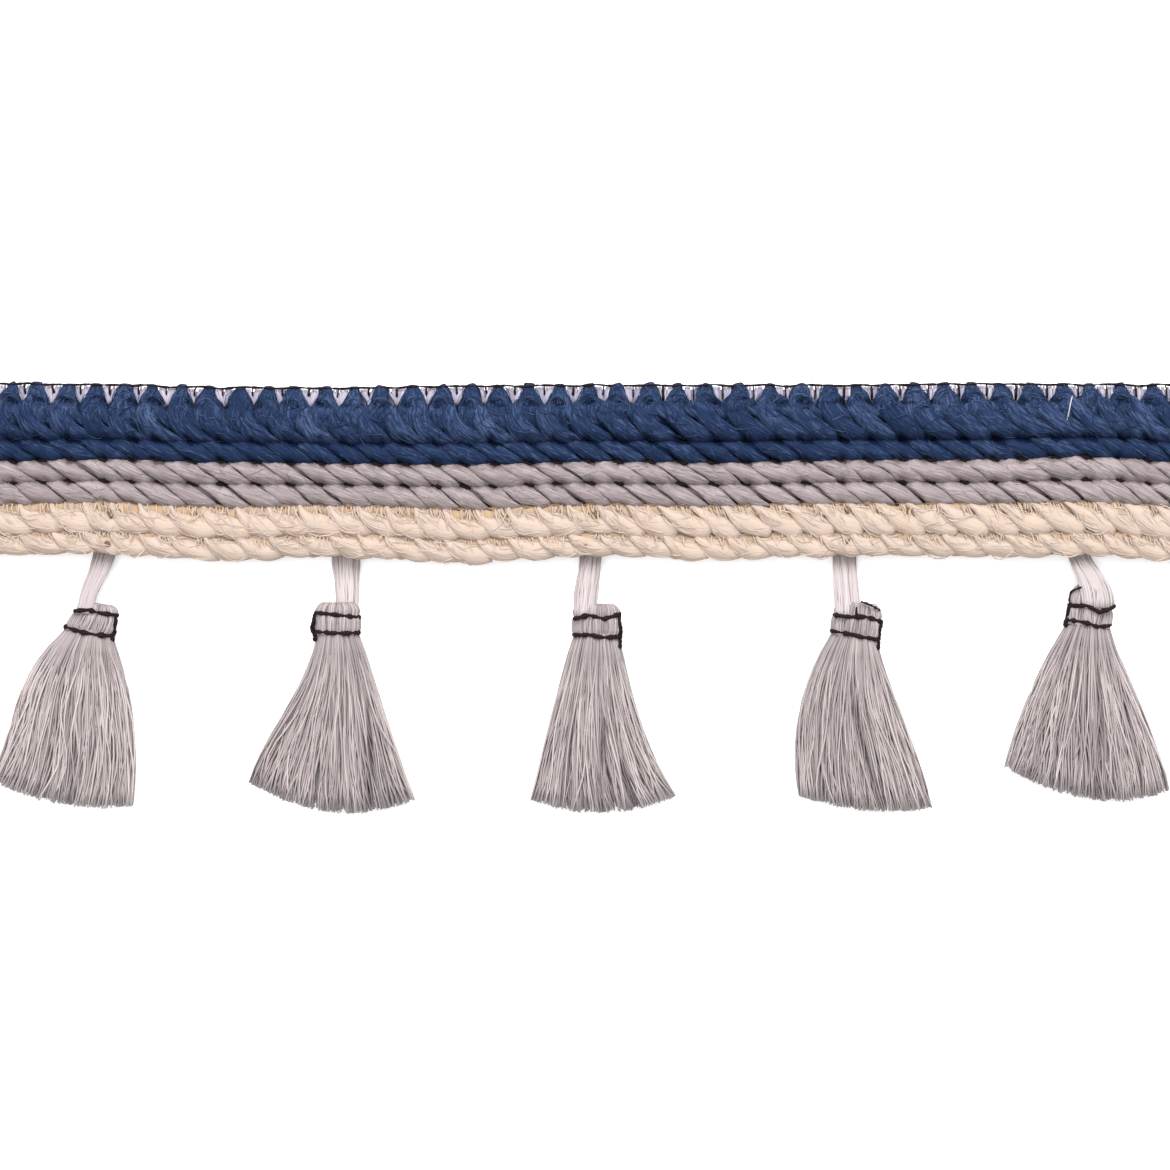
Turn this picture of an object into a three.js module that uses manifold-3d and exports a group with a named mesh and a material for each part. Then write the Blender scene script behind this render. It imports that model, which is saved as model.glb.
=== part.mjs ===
// Tassel trim: a knitted heading of soft roving ropes on a narrow ground tape, with five bound tassels
// hanging on loops of yarn. Millimetres, +Z up. The cut length lies face up on Z = 0: X runs along it,
// +Y points to the heading's top edge, and the origin is the middle of its footprint.
import * as THREE from "three";
import { LoftGeometry } from "three/addons/geometries/LoftGeometry.js";
import { mergeVertices } from "three/addons/utils/BufferGeometryUtils.js";
import Module from "manifold-3d";

const wasm = await Module();
wasm.setup();

// Driving dimensions of the heading.
const STITCH = 4.1; // one stitch along the heading
const STITCHES = 42;
const LENGTH = STITCH * STITCHES;
const CLEARANCE = 0.3; // between neighbouring pieces
const TAPE = { top: 29.2, bottom: 7.7, thickness: 1.0 };
const EDGE_THREAD = { y: 29.74, z: 0.72, radius: 0.22, sides: 4 };
const ROW_FLOOR = TAPE.thickness + CLEARANCE;

// A roving rope is three strands laid together; its section is a star of crests and grooves that turns.
const STRANDS = 3;
const GROOVE = 0.8; // a groove's share of the crest's reach
const STEPS_PER_STITCH = 2;

// The rope rows of the heading, from its top to its bottom edge.
const ROPES = [
  { name: "navy_rope", top: 22.0, bottom: 19.1, height: 3.0, material: "navy" },
  { name: "grey_rope_upper", top: 19.1, bottom: 15.9, height: 3.1, material: "grey" },
  { name: "grey_rope_lower", top: 15.9, bottom: 12.9, height: 3.0, material: "grey" },
  { name: "cream_rope_upper", top: 12.9, bottom: 8.7, height: 3.7, material: "cream" },
  { name: "cream_rope_lower", top: 8.7, bottom: 5.0, height: 3.6, material: "cream" },
];

// The top row is roving drawn up into one dome a stitch, with the tape bare in the notches between them.
const DOMES = { top: 29.2, notch: 27.2, bottom: 22.0 };
const DOME_PROFILE = [
  { share: 1.0, height: 0.0 },
  { share: 1.0, height: 1.2 },
  { share: 0.55, height: 3.5 },
  { share: 0.1, height: 2.9 },
  { share: 0.0, height: 0.0 },
]; // round its section: share of the way from the bottom edge to the top, height over the tape
const DOME_STATIONS = [
  { along: 0.0, isDome: false },
  { along: 0.25, isDome: true },
  { along: 0.75, isDome: true },
];

// How far the heading's lines wander from straight: at each place along it, the shift of the top edge,
// of the line between navy and grey, and of the bottom edge, which every tassel loop draws up.
const WANDER_LINES = { top: 29.8, middle: 19.1, bottom: 5.0 };
const WANDER = [
  { x: -86.1, top: 0.3, middle: 0.0, bottom: 0.5 },
  { x: -69.0, top: 0.1, middle: 0.3, bottom: 1.0 },
  { x: -52.0, top: -0.3, middle: 0.0, bottom: -0.1 },
  { x: -35.0, top: -0.4, middle: -0.3, bottom: 0.6 },
  { x: -17.0, top: -0.1, middle: -0.4, bottom: -0.4 },
  { x: 0.0, top: 0.0, middle: 0.0, bottom: 0.6 },
  { x: 18.0, top: 0.0, middle: -0.1, bottom: 0.1 },
  { x: 36.0, top: 0.0, middle: 0.2, bottom: 0.6 },
  { x: 53.0, top: 0.2, middle: 0.2, bottom: 0.5 },
  { x: 69.0, top: 0.1, middle: 0.7, bottom: 0.6 },
  { x: 86.1, top: 0.0, middle: -0.3, bottom: -0.2 },
];

// A tassel is a rolled strip of yarn: a head bound by two ties over a skirt of loose ends.
const TIE = { apart: 2.5, radius: 0.2, sides: 4, segments: 10, groove: 0.92 };
const HEAD = { z: 2.95, halfHeight: 2.15, sides: 12 };
const CAP_STATIONS = [
  { share: 1.0, girth: 0.6 },
  { share: 0.6, girth: 0.9 },
]; // the rounded top of the head: share of its rise over the upper tie, girth as a share of the head's
const NECK = { length: 0.6, girth: 0.97 }; // from the lower tie to where the skirt spreads
const SEAM = { proud: 0.35, steps: 3 }; // the thread that closes the roll, down one side of it
const SKIRT = {
  stations: [0.14, 0.32, 0.55, 0.78, 1.0], // shares of the way from the neck to the hem
  height: 5.3,
  hemHeight: 4.2,
  widest: 0.35, // share of the height at which the section is widest
  flatness: 1.5, // how soon the underside meets the table
};
const LOOP_YARN = {
  radius: 0.48,
  sides: 5,
  steps: 10,
  bendY: 6.6, // where its bend lies, behind the lowest rope
  shoulder: 0.8, // how far below the bend the legs part
  restZ: 0.49,
  footZ: 2.9, // the head's middle
  rise: 0.6, // how much of its climb is left half way down the leg
};

// One row a tassel. Head: middle x and y between the ties, tilt in degrees (its right side lower), width,
// and the rise of the rounded cap over the upper tie. Loop: x where it leaves the heading, x where it
// enters the head, and the spread of its two legs at each. Skirt: how far its left and right edges have
// moved sideways at half length and at the hem, and how far below the lower tie the hem lies at its
// left, middle and right. Seam: its side, -1 left and 1 right, and how far it hangs below the lower tie.
const TASSELS = [
  {
    head: { x: -69.1, y: -3.4, tilt: 8, width: 6.2, cap: 1.4 },
    loop: { x: -68.0, foot: -70.2, spread: 1.7, footSpread: 1.5 },
    skirt: { leftMid: -6.9, leftEnd: -9.7, rightMid: 2.6, rightEnd: 2.7, left: 20.9, middle: 24.2, right: 24.6 },
    seam: { side: 1, tail: 1.2 },
  },
  {
    head: { x: -35.4, y: -3.6, tilt: 0, width: 6.7, cap: 1.7 },
    loop: { x: -34.4, foot: -34.3, spread: 2.8, footSpread: 1.9 },
    skirt: { leftMid: -3.5, leftEnd: -8.9, rightMid: 3.5, rightEnd: 7.5, left: 21.1, middle: 25.0, right: 23.0 },
    seam: { side: -1, tail: 0.8 },
  },
  {
    head: { x: 0.9, y: -3.9, tilt: 1, width: 6.8, cap: 1.8 },
    loop: { x: 0.1, foot: -0.8, spread: 2.0, footSpread: 1.6 },
    skirt: { leftMid: -2.9, leftEnd: -5.7, rightMid: 2.6, rightEnd: 7.2, left: 23.2, middle: 24.7, right: 22.5 },
    seam: { side: 1, tail: 2.0 },
  },
  {
    head: { x: 37.1, y: -4.0, tilt: 9, width: 6.8, cap: 2.0 },
    loop: { x: 35.6, foot: 35.5, spread: 2.1, footSpread: 2.1 },
    skirt: { leftMid: -4.2, leftEnd: -4.1, rightMid: 3.5, rightEnd: 7.0, left: 22.6, middle: 24.5, right: 24.2 },
    seam: { side: 1, tail: 1.9 },
  },
  {
    head: { x: 69.7, y: -2.5, tilt: 7, width: 6.4, cap: 2.8 },
    loop: { x: 68.4, foot: 70.0, spread: 1.6, footSpread: 2.4 },
    skirt: { leftMid: -5.0, leftEnd: -8.3, rightMid: 4.2, rightEnd: 8.1, left: 20.0, middle: 24.4, right: 23.4 },
    seam: { side: -1, tail: 0.6 },
  },
];

const MATERIALS = {
  navy: new THREE.MeshStandardMaterial({ color: 0x384665, roughness: 0.9, metalness: 0 }),
  grey: new THREE.MeshStandardMaterial({ color: 0xa39595, roughness: 0.8, metalness: 0 }),
  cream: new THREE.MeshStandardMaterial({ color: 0xe2cbb9, roughness: 0.9, metalness: 0 }),
  tassel: new THREE.MeshStandardMaterial({ color: 0xb3a6a6, roughness: 0.6, metalness: 0 }),
  loop: new THREE.MeshStandardMaterial({ color: 0xe0d6d4, roughness: 0.6, metalness: 0 }),
  ground: new THREE.MeshStandardMaterial({ color: 0xcfc8d0, roughness: 0.9, metalness: 0 }),
  thread: new THREE.MeshStandardMaterial({ color: 0x241c1f, roughness: 0.7, metalness: 0 }),
};

const part = new THREE.Group();

function addNode(name, geometry, material) {
  const mesh = new THREE.Mesh(geometry, MATERIALS[material]);
  mesh.name = name;
  part.add(mesh);
}

function loft(sections) {
  return new LoftGeometry(sections, { capStart: true, capEnd: true });
}

function range(count) {
  return Array.from({ length: count }, (_, i) => i);
}

function mix(a, b, share) {
  return a + (b - a) * share;
}

// The value of one wander column at x, eased from one place to the next.
function wanderColumn(x, column) {
  const next = Math.max(1, WANDER.findIndex((row) => row.x >= x - 1e-6));
  const [a, b] = [WANDER[next - 1], WANDER[next]];
  const share = THREE.MathUtils.smoothstep(x, a.x, b.x);
  return mix(a[column], b[column], share);
}

// Where the line that would run straight at y really lies at x.
function wandered(x, y) {
  const isUpper = y > WANDER_LINES.middle;
  const outer = isUpper ? "top" : "bottom";
  const share = (y - WANDER_LINES.middle) / (WANDER_LINES[outer] - WANDER_LINES.middle);
  return y + mix(wanderColumn(x, "middle"), wanderColumn(x, outer), share);
}

// Evenly spaced places along the heading, its two cut ends included.
function placesAlong(steps) {
  return range(steps + 1).map((i) => (i / steps - 0.5) * LENGTH);
}

function tapeGeometry() {
  const sections = placesAlong(STITCHES / 2).map((x) => {
    const top = wandered(x, TAPE.top);
    const bottom = wandered(x, TAPE.bottom);
    return [
      new THREE.Vector3(x, top, 0),
      new THREE.Vector3(x, top, TAPE.thickness),
      new THREE.Vector3(x, bottom, TAPE.thickness),
      new THREE.Vector3(x, bottom, 0),
    ];
  });
  return loft(sections);
}

function edgeThreadGeometry() {
  const { y, z, radius, sides } = EDGE_THREAD;
  const sections = placesAlong(STITCHES).map((x) =>
    range(sides).map((k) => {
      const angle = (k * 2 * Math.PI) / sides;
      return new THREE.Vector3(x, wandered(x, y) + radius * Math.cos(angle), z + radius * Math.sin(angle));
    }),
  );
  return loft(sections);
}

// Crest and groove lines that turn a third of a turn a stitch, in the S direction seen from above.
function ropeGeometry({ top, bottom, height }) {
  const sections = placesAlong(STITCHES * STEPS_PER_STITCH).map((x) => {
    const upper = wandered(x, top) - CLEARANCE / 2;
    const lower = wandered(x, bottom) + CLEARANCE / 2;
    const turn = (2 * Math.PI * x) / (STRANDS * STITCH);
    return range(2 * STRANDS).map((k) => {
      const angle = turn + (k * Math.PI) / STRANDS;
      const reach = k % 2 === 0 ? 1 : GROOVE;
      const y = (upper + lower) / 2 + ((upper - lower) / 2) * reach * Math.cos(angle);
      const z = ROW_FLOOR + (height / 2) * (1 + reach * Math.sin(angle));
      return new THREE.Vector3(x, y, z);
    });
  });
  return loft(sections);
}

// The section of the dome row: thin at the top edge, full over its middle, tucked in at the bottom.
function domeSection(x, topY) {
  const top = wandered(x, topY);
  const bottom = wandered(x, DOMES.bottom) + CLEARANCE / 2;
  return DOME_PROFILE.map(
    ({ share, height }) => new THREE.Vector3(x, mix(bottom, top, share), ROW_FLOOR + height),
  );
}

function domeRowGeometry() {
  const sections = [];
  for (const stitch of range(STITCHES)) {
    for (const { along, isDome } of DOME_STATIONS) {
      const x = (stitch + along) * STITCH - LENGTH / 2;
      sections.push(domeSection(x, isDome ? DOMES.top : DOMES.notch));
    }
  }
  sections.push(domeSection(LENGTH / 2, DOMES.notch));
  return loft(sections);
}

// A head's own directions: across it to its right, and down it from cap to skirt.
function headFrame({ head }) {
  const tilt = THREE.MathUtils.degToRad(head.tilt);
  return {
    middle: new THREE.Vector2(head.x, head.y),
    across: new THREE.Vector2(Math.cos(tilt), -Math.sin(tilt)),
    down: new THREE.Vector2(-Math.sin(tilt), -Math.cos(tilt)),
  };
}

// The point of the head at a share across it (-1 to 1) and a distance down it from its middle.
function headPoint(tassel, share, down) {
  const frame = headFrame(tassel);
  return frame.middle
    .clone()
    .addScaledVector(frame.across, (share * tassel.head.width) / 2)
    .addScaledVector(frame.down, down);
}

// The curve through 0 at the neck, mid at half length and end at the hem.
function sidewaysAt(mid, end, along) {
  return (4 * mid - end) * along + (2 * end - 4 * mid) * along * along;
}

// The point of the skirt at a share across it and a share of the way from the neck to the hem.
function skirtPoint(tassel, share, along) {
  const { skirt } = tassel;
  const start = headPoint(tassel, share, TIE.apart / 2 + NECK.length);
  const left = sidewaysAt(skirt.leftMid, skirt.leftEnd, along);
  const right = sidewaysAt(skirt.rightMid, skirt.rightEnd, along);
  const slope = (skirt.right - skirt.left) / 2;
  const sag = (skirt.right + skirt.left) / 2 - skirt.middle;
  const lower = headPoint(tassel, 0, TIE.apart / 2).y;
  const hem = lower - (skirt.middle + slope * share + sag * share * share);
  return new THREE.Vector2(start.x + mix(left, right, (1 + share) / 2), mix(start.y, hem, along));
}

// An oval section of the head, clear of the table.
function headSection(tassel, down, girth) {
  return range(HEAD.sides).map((k) => {
    const angle = (k * 2 * Math.PI) / HEAD.sides;
    const point = headPoint(tassel, girth * Math.cos(angle), down);
    return new THREE.Vector3(point.x, point.y, HEAD.z + girth * HEAD.halfHeight * Math.sin(angle));
  });
}

// A section of the skirt: domed above and flat where it lies on the table.
function skirtSection(tassel, along) {
  const height = mix(SKIRT.height, SKIRT.hemHeight, along);
  const waist = SKIRT.widest * height;
  return range(HEAD.sides).map((k) => {
    const angle = (k * 2 * Math.PI) / HEAD.sides;
    const point = skirtPoint(tassel, Math.cos(angle), along);
    const rise = Math.sin(angle);
    const z = rise > 0 ? waist + (height - waist) * rise : waist * (1 - Math.min(1, -SKIRT.flatness * rise));
    return new THREE.Vector3(point.x, point.y, z);
  });
}

function tasselYarnsGeometry(tassel) {
  const tie = TIE.apart / 2;
  const sections = [
    ...CAP_STATIONS.map(({ share, girth }) => headSection(tassel, -tie - share * tassel.head.cap, girth)),
    headSection(tassel, -tie, TIE.groove),
    headSection(tassel, 0, 1),
    headSection(tassel, tie, TIE.groove),
    headSection(tassel, tie + NECK.length, NECK.girth),
    ...SKIRT.stations.map((along) => skirtSection(tassel, along)),
  ];
  return loft(sections);
}

function solidOf(geometry) {
  const bare = geometry.clone();
  bare.deleteAttribute("normal");
  bare.deleteAttribute("uv");
  const merged = mergeVertices(bare, 1e-4);
  const mesh = new wasm.Mesh({
    numProp: 3,
    vertProperties: merged.attributes.position.array,
    triVerts: new Uint32Array(merged.index.array),
  });
  return new wasm.Manifold(mesh);
}

function geometryOf(solid) {
  const mesh = solid.getMesh();
  const geometry = new THREE.BufferGeometry();
  geometry.setAttribute("position", new THREE.BufferAttribute(mesh.vertProperties, mesh.numProp));
  geometry.setIndex(new THREE.BufferAttribute(mesh.triVerts, 1));
  return geometry;
}

// A thread or yarn of round section along a smooth curve through the points.
function strandGeometry(points, radius, sides, steps) {
  const corners = range(sides).map((k) => {
    const angle = (k * 2 * Math.PI) / sides;
    return new THREE.Vector2(radius * Math.cos(angle), radius * Math.sin(angle));
  });
  return new THREE.ExtrudeGeometry(new THREE.Shape(corners), {
    extrudePath: new THREE.CatmullRomCurve3(points),
    steps,
    bevelEnabled: false,
  });
}

// An oval ring round the head, in the groove that the tie has drawn into the yarns.
function tieGeometry(tassel, down) {
  const reach = CLEARANCE + TIE.radius;
  const halfWidth = (TIE.groove * tassel.head.width) / 2 + reach;
  const halfHeight = TIE.groove * HEAD.halfHeight + reach;
  const centre = headPoint(tassel, 0, down);
  const ring = new THREE.TorusGeometry(halfWidth, TIE.radius, TIE.sides, TIE.segments);
  ring.rotateX(Math.PI / 2);
  ring.scale(1, 1, halfHeight / halfWidth);
  ring.rotateZ(-THREE.MathUtils.degToRad(tassel.head.tilt));
  ring.translate(centre.x, centre.y, HEAD.z);
  return ring;
}

// The two ties and the seam thread that runs down the side of the roll, as one black thread.
function bindingGeometry(tassel) {
  const tie = TIE.apart / 2;
  const { side, tail } = tassel.seam;
  const ringShare = TIE.groove + (CLEARANCE + TIE.radius) / (tassel.head.width / 2);
  const upper = headPoint(tassel, side * ringShare, -tie);
  const lower = headPoint(tassel, side * ringShare, tie);
  const end = skirtPoint(tassel, side, tail / tassel.skirt.middle);
  const seam = strandGeometry(
    [
      new THREE.Vector3(upper.x, upper.y, HEAD.z),
      new THREE.Vector3(lower.x, lower.y, HEAD.z),
      new THREE.Vector3(end.x + side * (SEAM.proud + CLEARANCE), end.y, HEAD.z),
    ],
    TIE.radius,
    TIE.sides,
    SEAM.steps,
  );
  const rings = [-tie, tie].map((down) => solidOf(tieGeometry(tassel, down)));
  return geometryOf(rings[0].add(rings[1]).add(solidOf(seam)));
}

// A hairpin of yarn: up from the head, round behind the lowest rope and down again.
function loopGeometry(tassel) {
  const { loop, head } = tassel;
  const { radius, bendY, shoulder, restZ, footZ, rise } = LOOP_YARN;
  const top = wandered(loop.x, bendY);
  const foot = headPoint(tassel, 0, -TIE.apart / 2 - head.cap).y + radius + CLEARANCE;
  const leg = (side) => [
    new THREE.Vector3(loop.foot + (side * loop.footSpread) / 2, foot, footZ),
    new THREE.Vector3(
      mix(loop.foot, loop.x, rise) + (side * mix(loop.footSpread, loop.spread, rise)) / 2,
      mix(foot, top, 0.5),
      mix(footZ, restZ, rise),
    ),
    new THREE.Vector3(loop.x + (side * loop.spread) / 2, top - shoulder, restZ),
  ];
  const bend = new THREE.Vector3(loop.x, top, restZ);
  return strandGeometry([...leg(-1), bend, ...leg(1).reverse()], radius, LOOP_YARN.sides, LOOP_YARN.steps);
}

addNode("ground_tape", tapeGeometry(), "ground");
addNode("edge_thread", edgeThreadGeometry(), "thread");
addNode("navy_dome_row", domeRowGeometry(), "navy");
for (const rope of ROPES) {
  addNode(rope.name, ropeGeometry(rope), rope.material);
}
TASSELS.forEach((tassel, index) => {
  const name = `tassel_${index + 1}`;
  addNode(`${name}_yarns`, tasselYarnsGeometry(tassel), "tassel");
  addNode(`${name}_binding`, bindingGeometry(tassel), "thread");
  addNode(`${name}_loop`, loopGeometry(tassel), "loop");
});

export default part;
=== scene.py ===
"""Visual model of a tassel trim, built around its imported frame.

The trim lies face up: X runs along the heading, +Y points to its top edge and +Z out of its face. Shapes
are worked out in millimetres as numpy arrays and stored in metres.
"""

import logging
import math
from dataclasses import dataclass, field
from enum import Enum

import bpy
import numpy as np
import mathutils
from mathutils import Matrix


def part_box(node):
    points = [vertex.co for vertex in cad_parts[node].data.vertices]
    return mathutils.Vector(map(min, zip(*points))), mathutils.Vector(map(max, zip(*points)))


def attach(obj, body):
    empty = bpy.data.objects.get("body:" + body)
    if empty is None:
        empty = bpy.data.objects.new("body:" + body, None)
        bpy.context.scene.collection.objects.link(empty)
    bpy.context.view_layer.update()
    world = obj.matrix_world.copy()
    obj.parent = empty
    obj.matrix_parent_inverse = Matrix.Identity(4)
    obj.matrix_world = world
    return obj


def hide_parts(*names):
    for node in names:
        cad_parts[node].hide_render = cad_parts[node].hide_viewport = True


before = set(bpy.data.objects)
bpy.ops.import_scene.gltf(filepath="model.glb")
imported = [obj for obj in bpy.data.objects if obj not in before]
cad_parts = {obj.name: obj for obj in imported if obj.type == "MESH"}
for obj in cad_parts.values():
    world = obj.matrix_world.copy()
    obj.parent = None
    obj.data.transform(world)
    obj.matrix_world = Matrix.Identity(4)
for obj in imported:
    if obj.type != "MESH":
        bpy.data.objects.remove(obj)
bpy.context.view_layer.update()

MM = 0.001
LOG = logging.getLogger("tassel_trim")
STITCHES = 42
Vector = tuple[float, float, float]
Pair = tuple[float, float]
Pairs = tuple[Pair, ...]
Floats = tuple[float, ...]
Array = np.ndarray
Rng = np.random.Generator
UP: Vector = (0.0, 0.0, 1.0)
FIBRES_APART = 97.0  # mm between two tubes' places in the fibre pattern, so that no two look alike


class Side(Enum):
    """The side of a tassel that its roll is closed on."""

    LEFT = -1
    RIGHT = 1


def add_object(name: str, data: bpy.types.ID, place: Vector = (0.0, 0.0, 0.0)) -> bpy.types.Object:
    """Puts data into the scene as an object.

    Args:
        name: The object's name.
        data: Its mesh, light or camera.
        place: Where it goes, in metres.

    Returns:
        The object.
    """
    made = bpy.data.objects.new(name, data)
    made.location = place
    bpy.context.scene.collection.objects.link(made)
    return made


def set_sockets(node: bpy.types.Node, values: dict[object, object]) -> None:
    """Sets the constant values of a node's input sockets, by name or place."""
    for name, value in values.items():
        node.inputs[name].default_value = value


# ---------------------------------------------------------------------------------------------- shape tools


def unit(vectors: Array) -> Array:
    """Vectors over their own lengths."""
    return vectors / np.maximum(np.linalg.norm(vectors, axis=-1, keepdims=True), 1e-9)


def smooth(share: Array) -> Array:
    """The ease curve 3s^2 - 2s^3 of a share that is first held between 0 and 1."""
    held = np.clip(share, 0.0, 1.0)
    return held * held * (3.0 - 2.0 * held)


def mix(a: Array, b: Array, share: Array) -> Array:
    """The value that lies a share of the way from a to b."""
    return a + (b - a) * share


def bell(distance: Array, width: float) -> Array:
    """The bell curve exp(-(distance / width)^2)."""
    return np.exp(-((distance / width) ** 2))


def joined(x: Array, y: Array | float, z: Array | float) -> Array:
    """Points from their coordinates, each broadcast to the largest one's shape."""
    return np.stack(np.broadcast_arrays(x, y, z), axis=-1)


def shades(rng: Rng, mean: Array | float, spread: float, count: int) -> Array:
    """The shades of `count` yarns, spread about their mean and held between 0 and 1."""
    return np.clip(mean + rng.normal(0.0, spread, count), 0.0, 1.0)


def waves(rng: Rng, where: Array, cycles: float, terms: int = 4) -> Array:
    """Smooth noise of about unit size: a sum of sines, with phases of their own for each row of `where`.

    Args:
        rng: Source of the phases and frequencies.
        where: Positions, one row for each thing that moves on its own.
        cycles: Mean number of cycles for each unit of position.
        terms: Number of sines.

    Returns:
        An array of the shape of `where`.
    """
    rows = where.shape[:1] + (1,) * (where.ndim - 1)
    total = np.zeros_like(where)
    for _ in range(terms):
        rate = cycles * rng.uniform(0.4, 1.6, rows)
        total = total + np.sin(2.0 * np.pi * (rate * where + rng.random(rows)))
    return total / math.sqrt(terms / 2.0)


def even(count: int, steps: int) -> Array:
    """Even shares from 0 to 1 in `steps` places along each of `count` rows."""
    return np.tile(np.linspace(0.0, 1.0, steps), (count, 1))


def bezier(points: Array, steps: int) -> Array:
    """Cubic curves: the sum of (1-t)^3, 3t(1-t)^2, 3t^2(1-t) and t^3 times each curve's four points.

    Args:
        points: Control points, shape (curves, 4, 3).
        steps: Number of points on each curve, at even shares t.

    Returns:
        Paths, shape (curves, steps, 3).
    """
    t = np.linspace(0.0, 1.0, steps)
    s = 1.0 - t
    weights = np.stack([s**3, 3.0 * t * s**2, 3.0 * t**2 * s, t**3], axis=0)
    return np.einsum("kpc,pn->knc", points, weights)


def spline(points: Array, steps: int) -> Array:
    """Smooth curves through points: between two of them a cubic, with slopes of half their neighbours' span.

    Args:
        points: Shape (curves, points, values), evenly spaced in the share.
        steps: Number of places along each curve, at even shares.

    Returns:
        Values along the curves, shape (curves, steps, values).
    """
    last = points.shape[1] - 1
    at = np.linspace(0.0, 1.0, steps) * last
    i = np.minimum(at.astype(int), last - 1)
    s = (at - i)[:, None]
    slopes = np.gradient(points, axis=1)
    a, b, m, n = points[:, i], points[:, i + 1], slopes[:, i], slopes[:, i + 1]
    rise = 3.0 * s**2 - 2.0 * s**3
    return a * (1.0 - rise) + b * rise + m * (s**3 - 2.0 * s**2 + s) + n * (s**3 - s**2)


def sweep(
    paths: Array,
    wide: Array,
    high: Array,
    sides: int,
    up: Vector = UP,
    swell: Array | None = None,
    squareness: float = 1.0,
) -> tuple[Array, Array]:
    """Carries an oval along each path: centre + wide c side + high s normal.

    Here c and s are cos(v) and sin(v), each raised to the squareness and keeping its sign.

    Args:
        paths: Centre lines, shape (tubes, steps, 3).
        wide: Half widths across the path and across `up`, broadcast to (tubes, steps).
        high: Half widths towards `up`, likewise.
        sides: Points round each ring, an even number.
        up: The direction that the ovals stand in.
        swell: Factor on the oval at each point, shape (tubes, steps, sides), or None for 1.
        squareness: 1 for an oval, less for one with a flatter top and steeper flanks.

    Returns:
        The rings, shape (tubes, steps, sides, 3), and the same points in the straightened tubes.
    """
    tubes, steps, _ = paths.shape
    tangent = unit(np.gradient(paths, axis=1))
    side = unit(np.cross(np.broadcast_to(np.asarray(up), tangent.shape), tangent))
    normal = np.cross(tangent, side)
    angle = np.linspace(0.0, 2.0 * np.pi, sides, endpoint=False)
    factor = np.ones((tubes, steps, sides)) if swell is None else swell
    cosine = np.sign(np.cos(angle)) * np.abs(np.cos(angle)) ** squareness
    sine = np.sign(np.sin(angle)) * np.abs(np.sin(angle)) ** squareness
    across = np.broadcast_to(wide, (tubes, steps))[..., None] * cosine * factor
    rise = np.broadcast_to(high, (tubes, steps))[..., None] * sine * factor
    rings = paths[:, :, None] + across[..., None] * side[:, :, None] + rise[..., None] * normal[:, :, None]
    stride = np.linalg.norm(np.diff(paths, axis=1), axis=-1)
    along = np.concatenate([np.zeros((tubes, 1)), np.cumsum(stride, axis=1)], axis=1)
    return rings, np.stack([np.broadcast_to(along[..., None], across.shape), across, rise], axis=-1)


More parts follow.
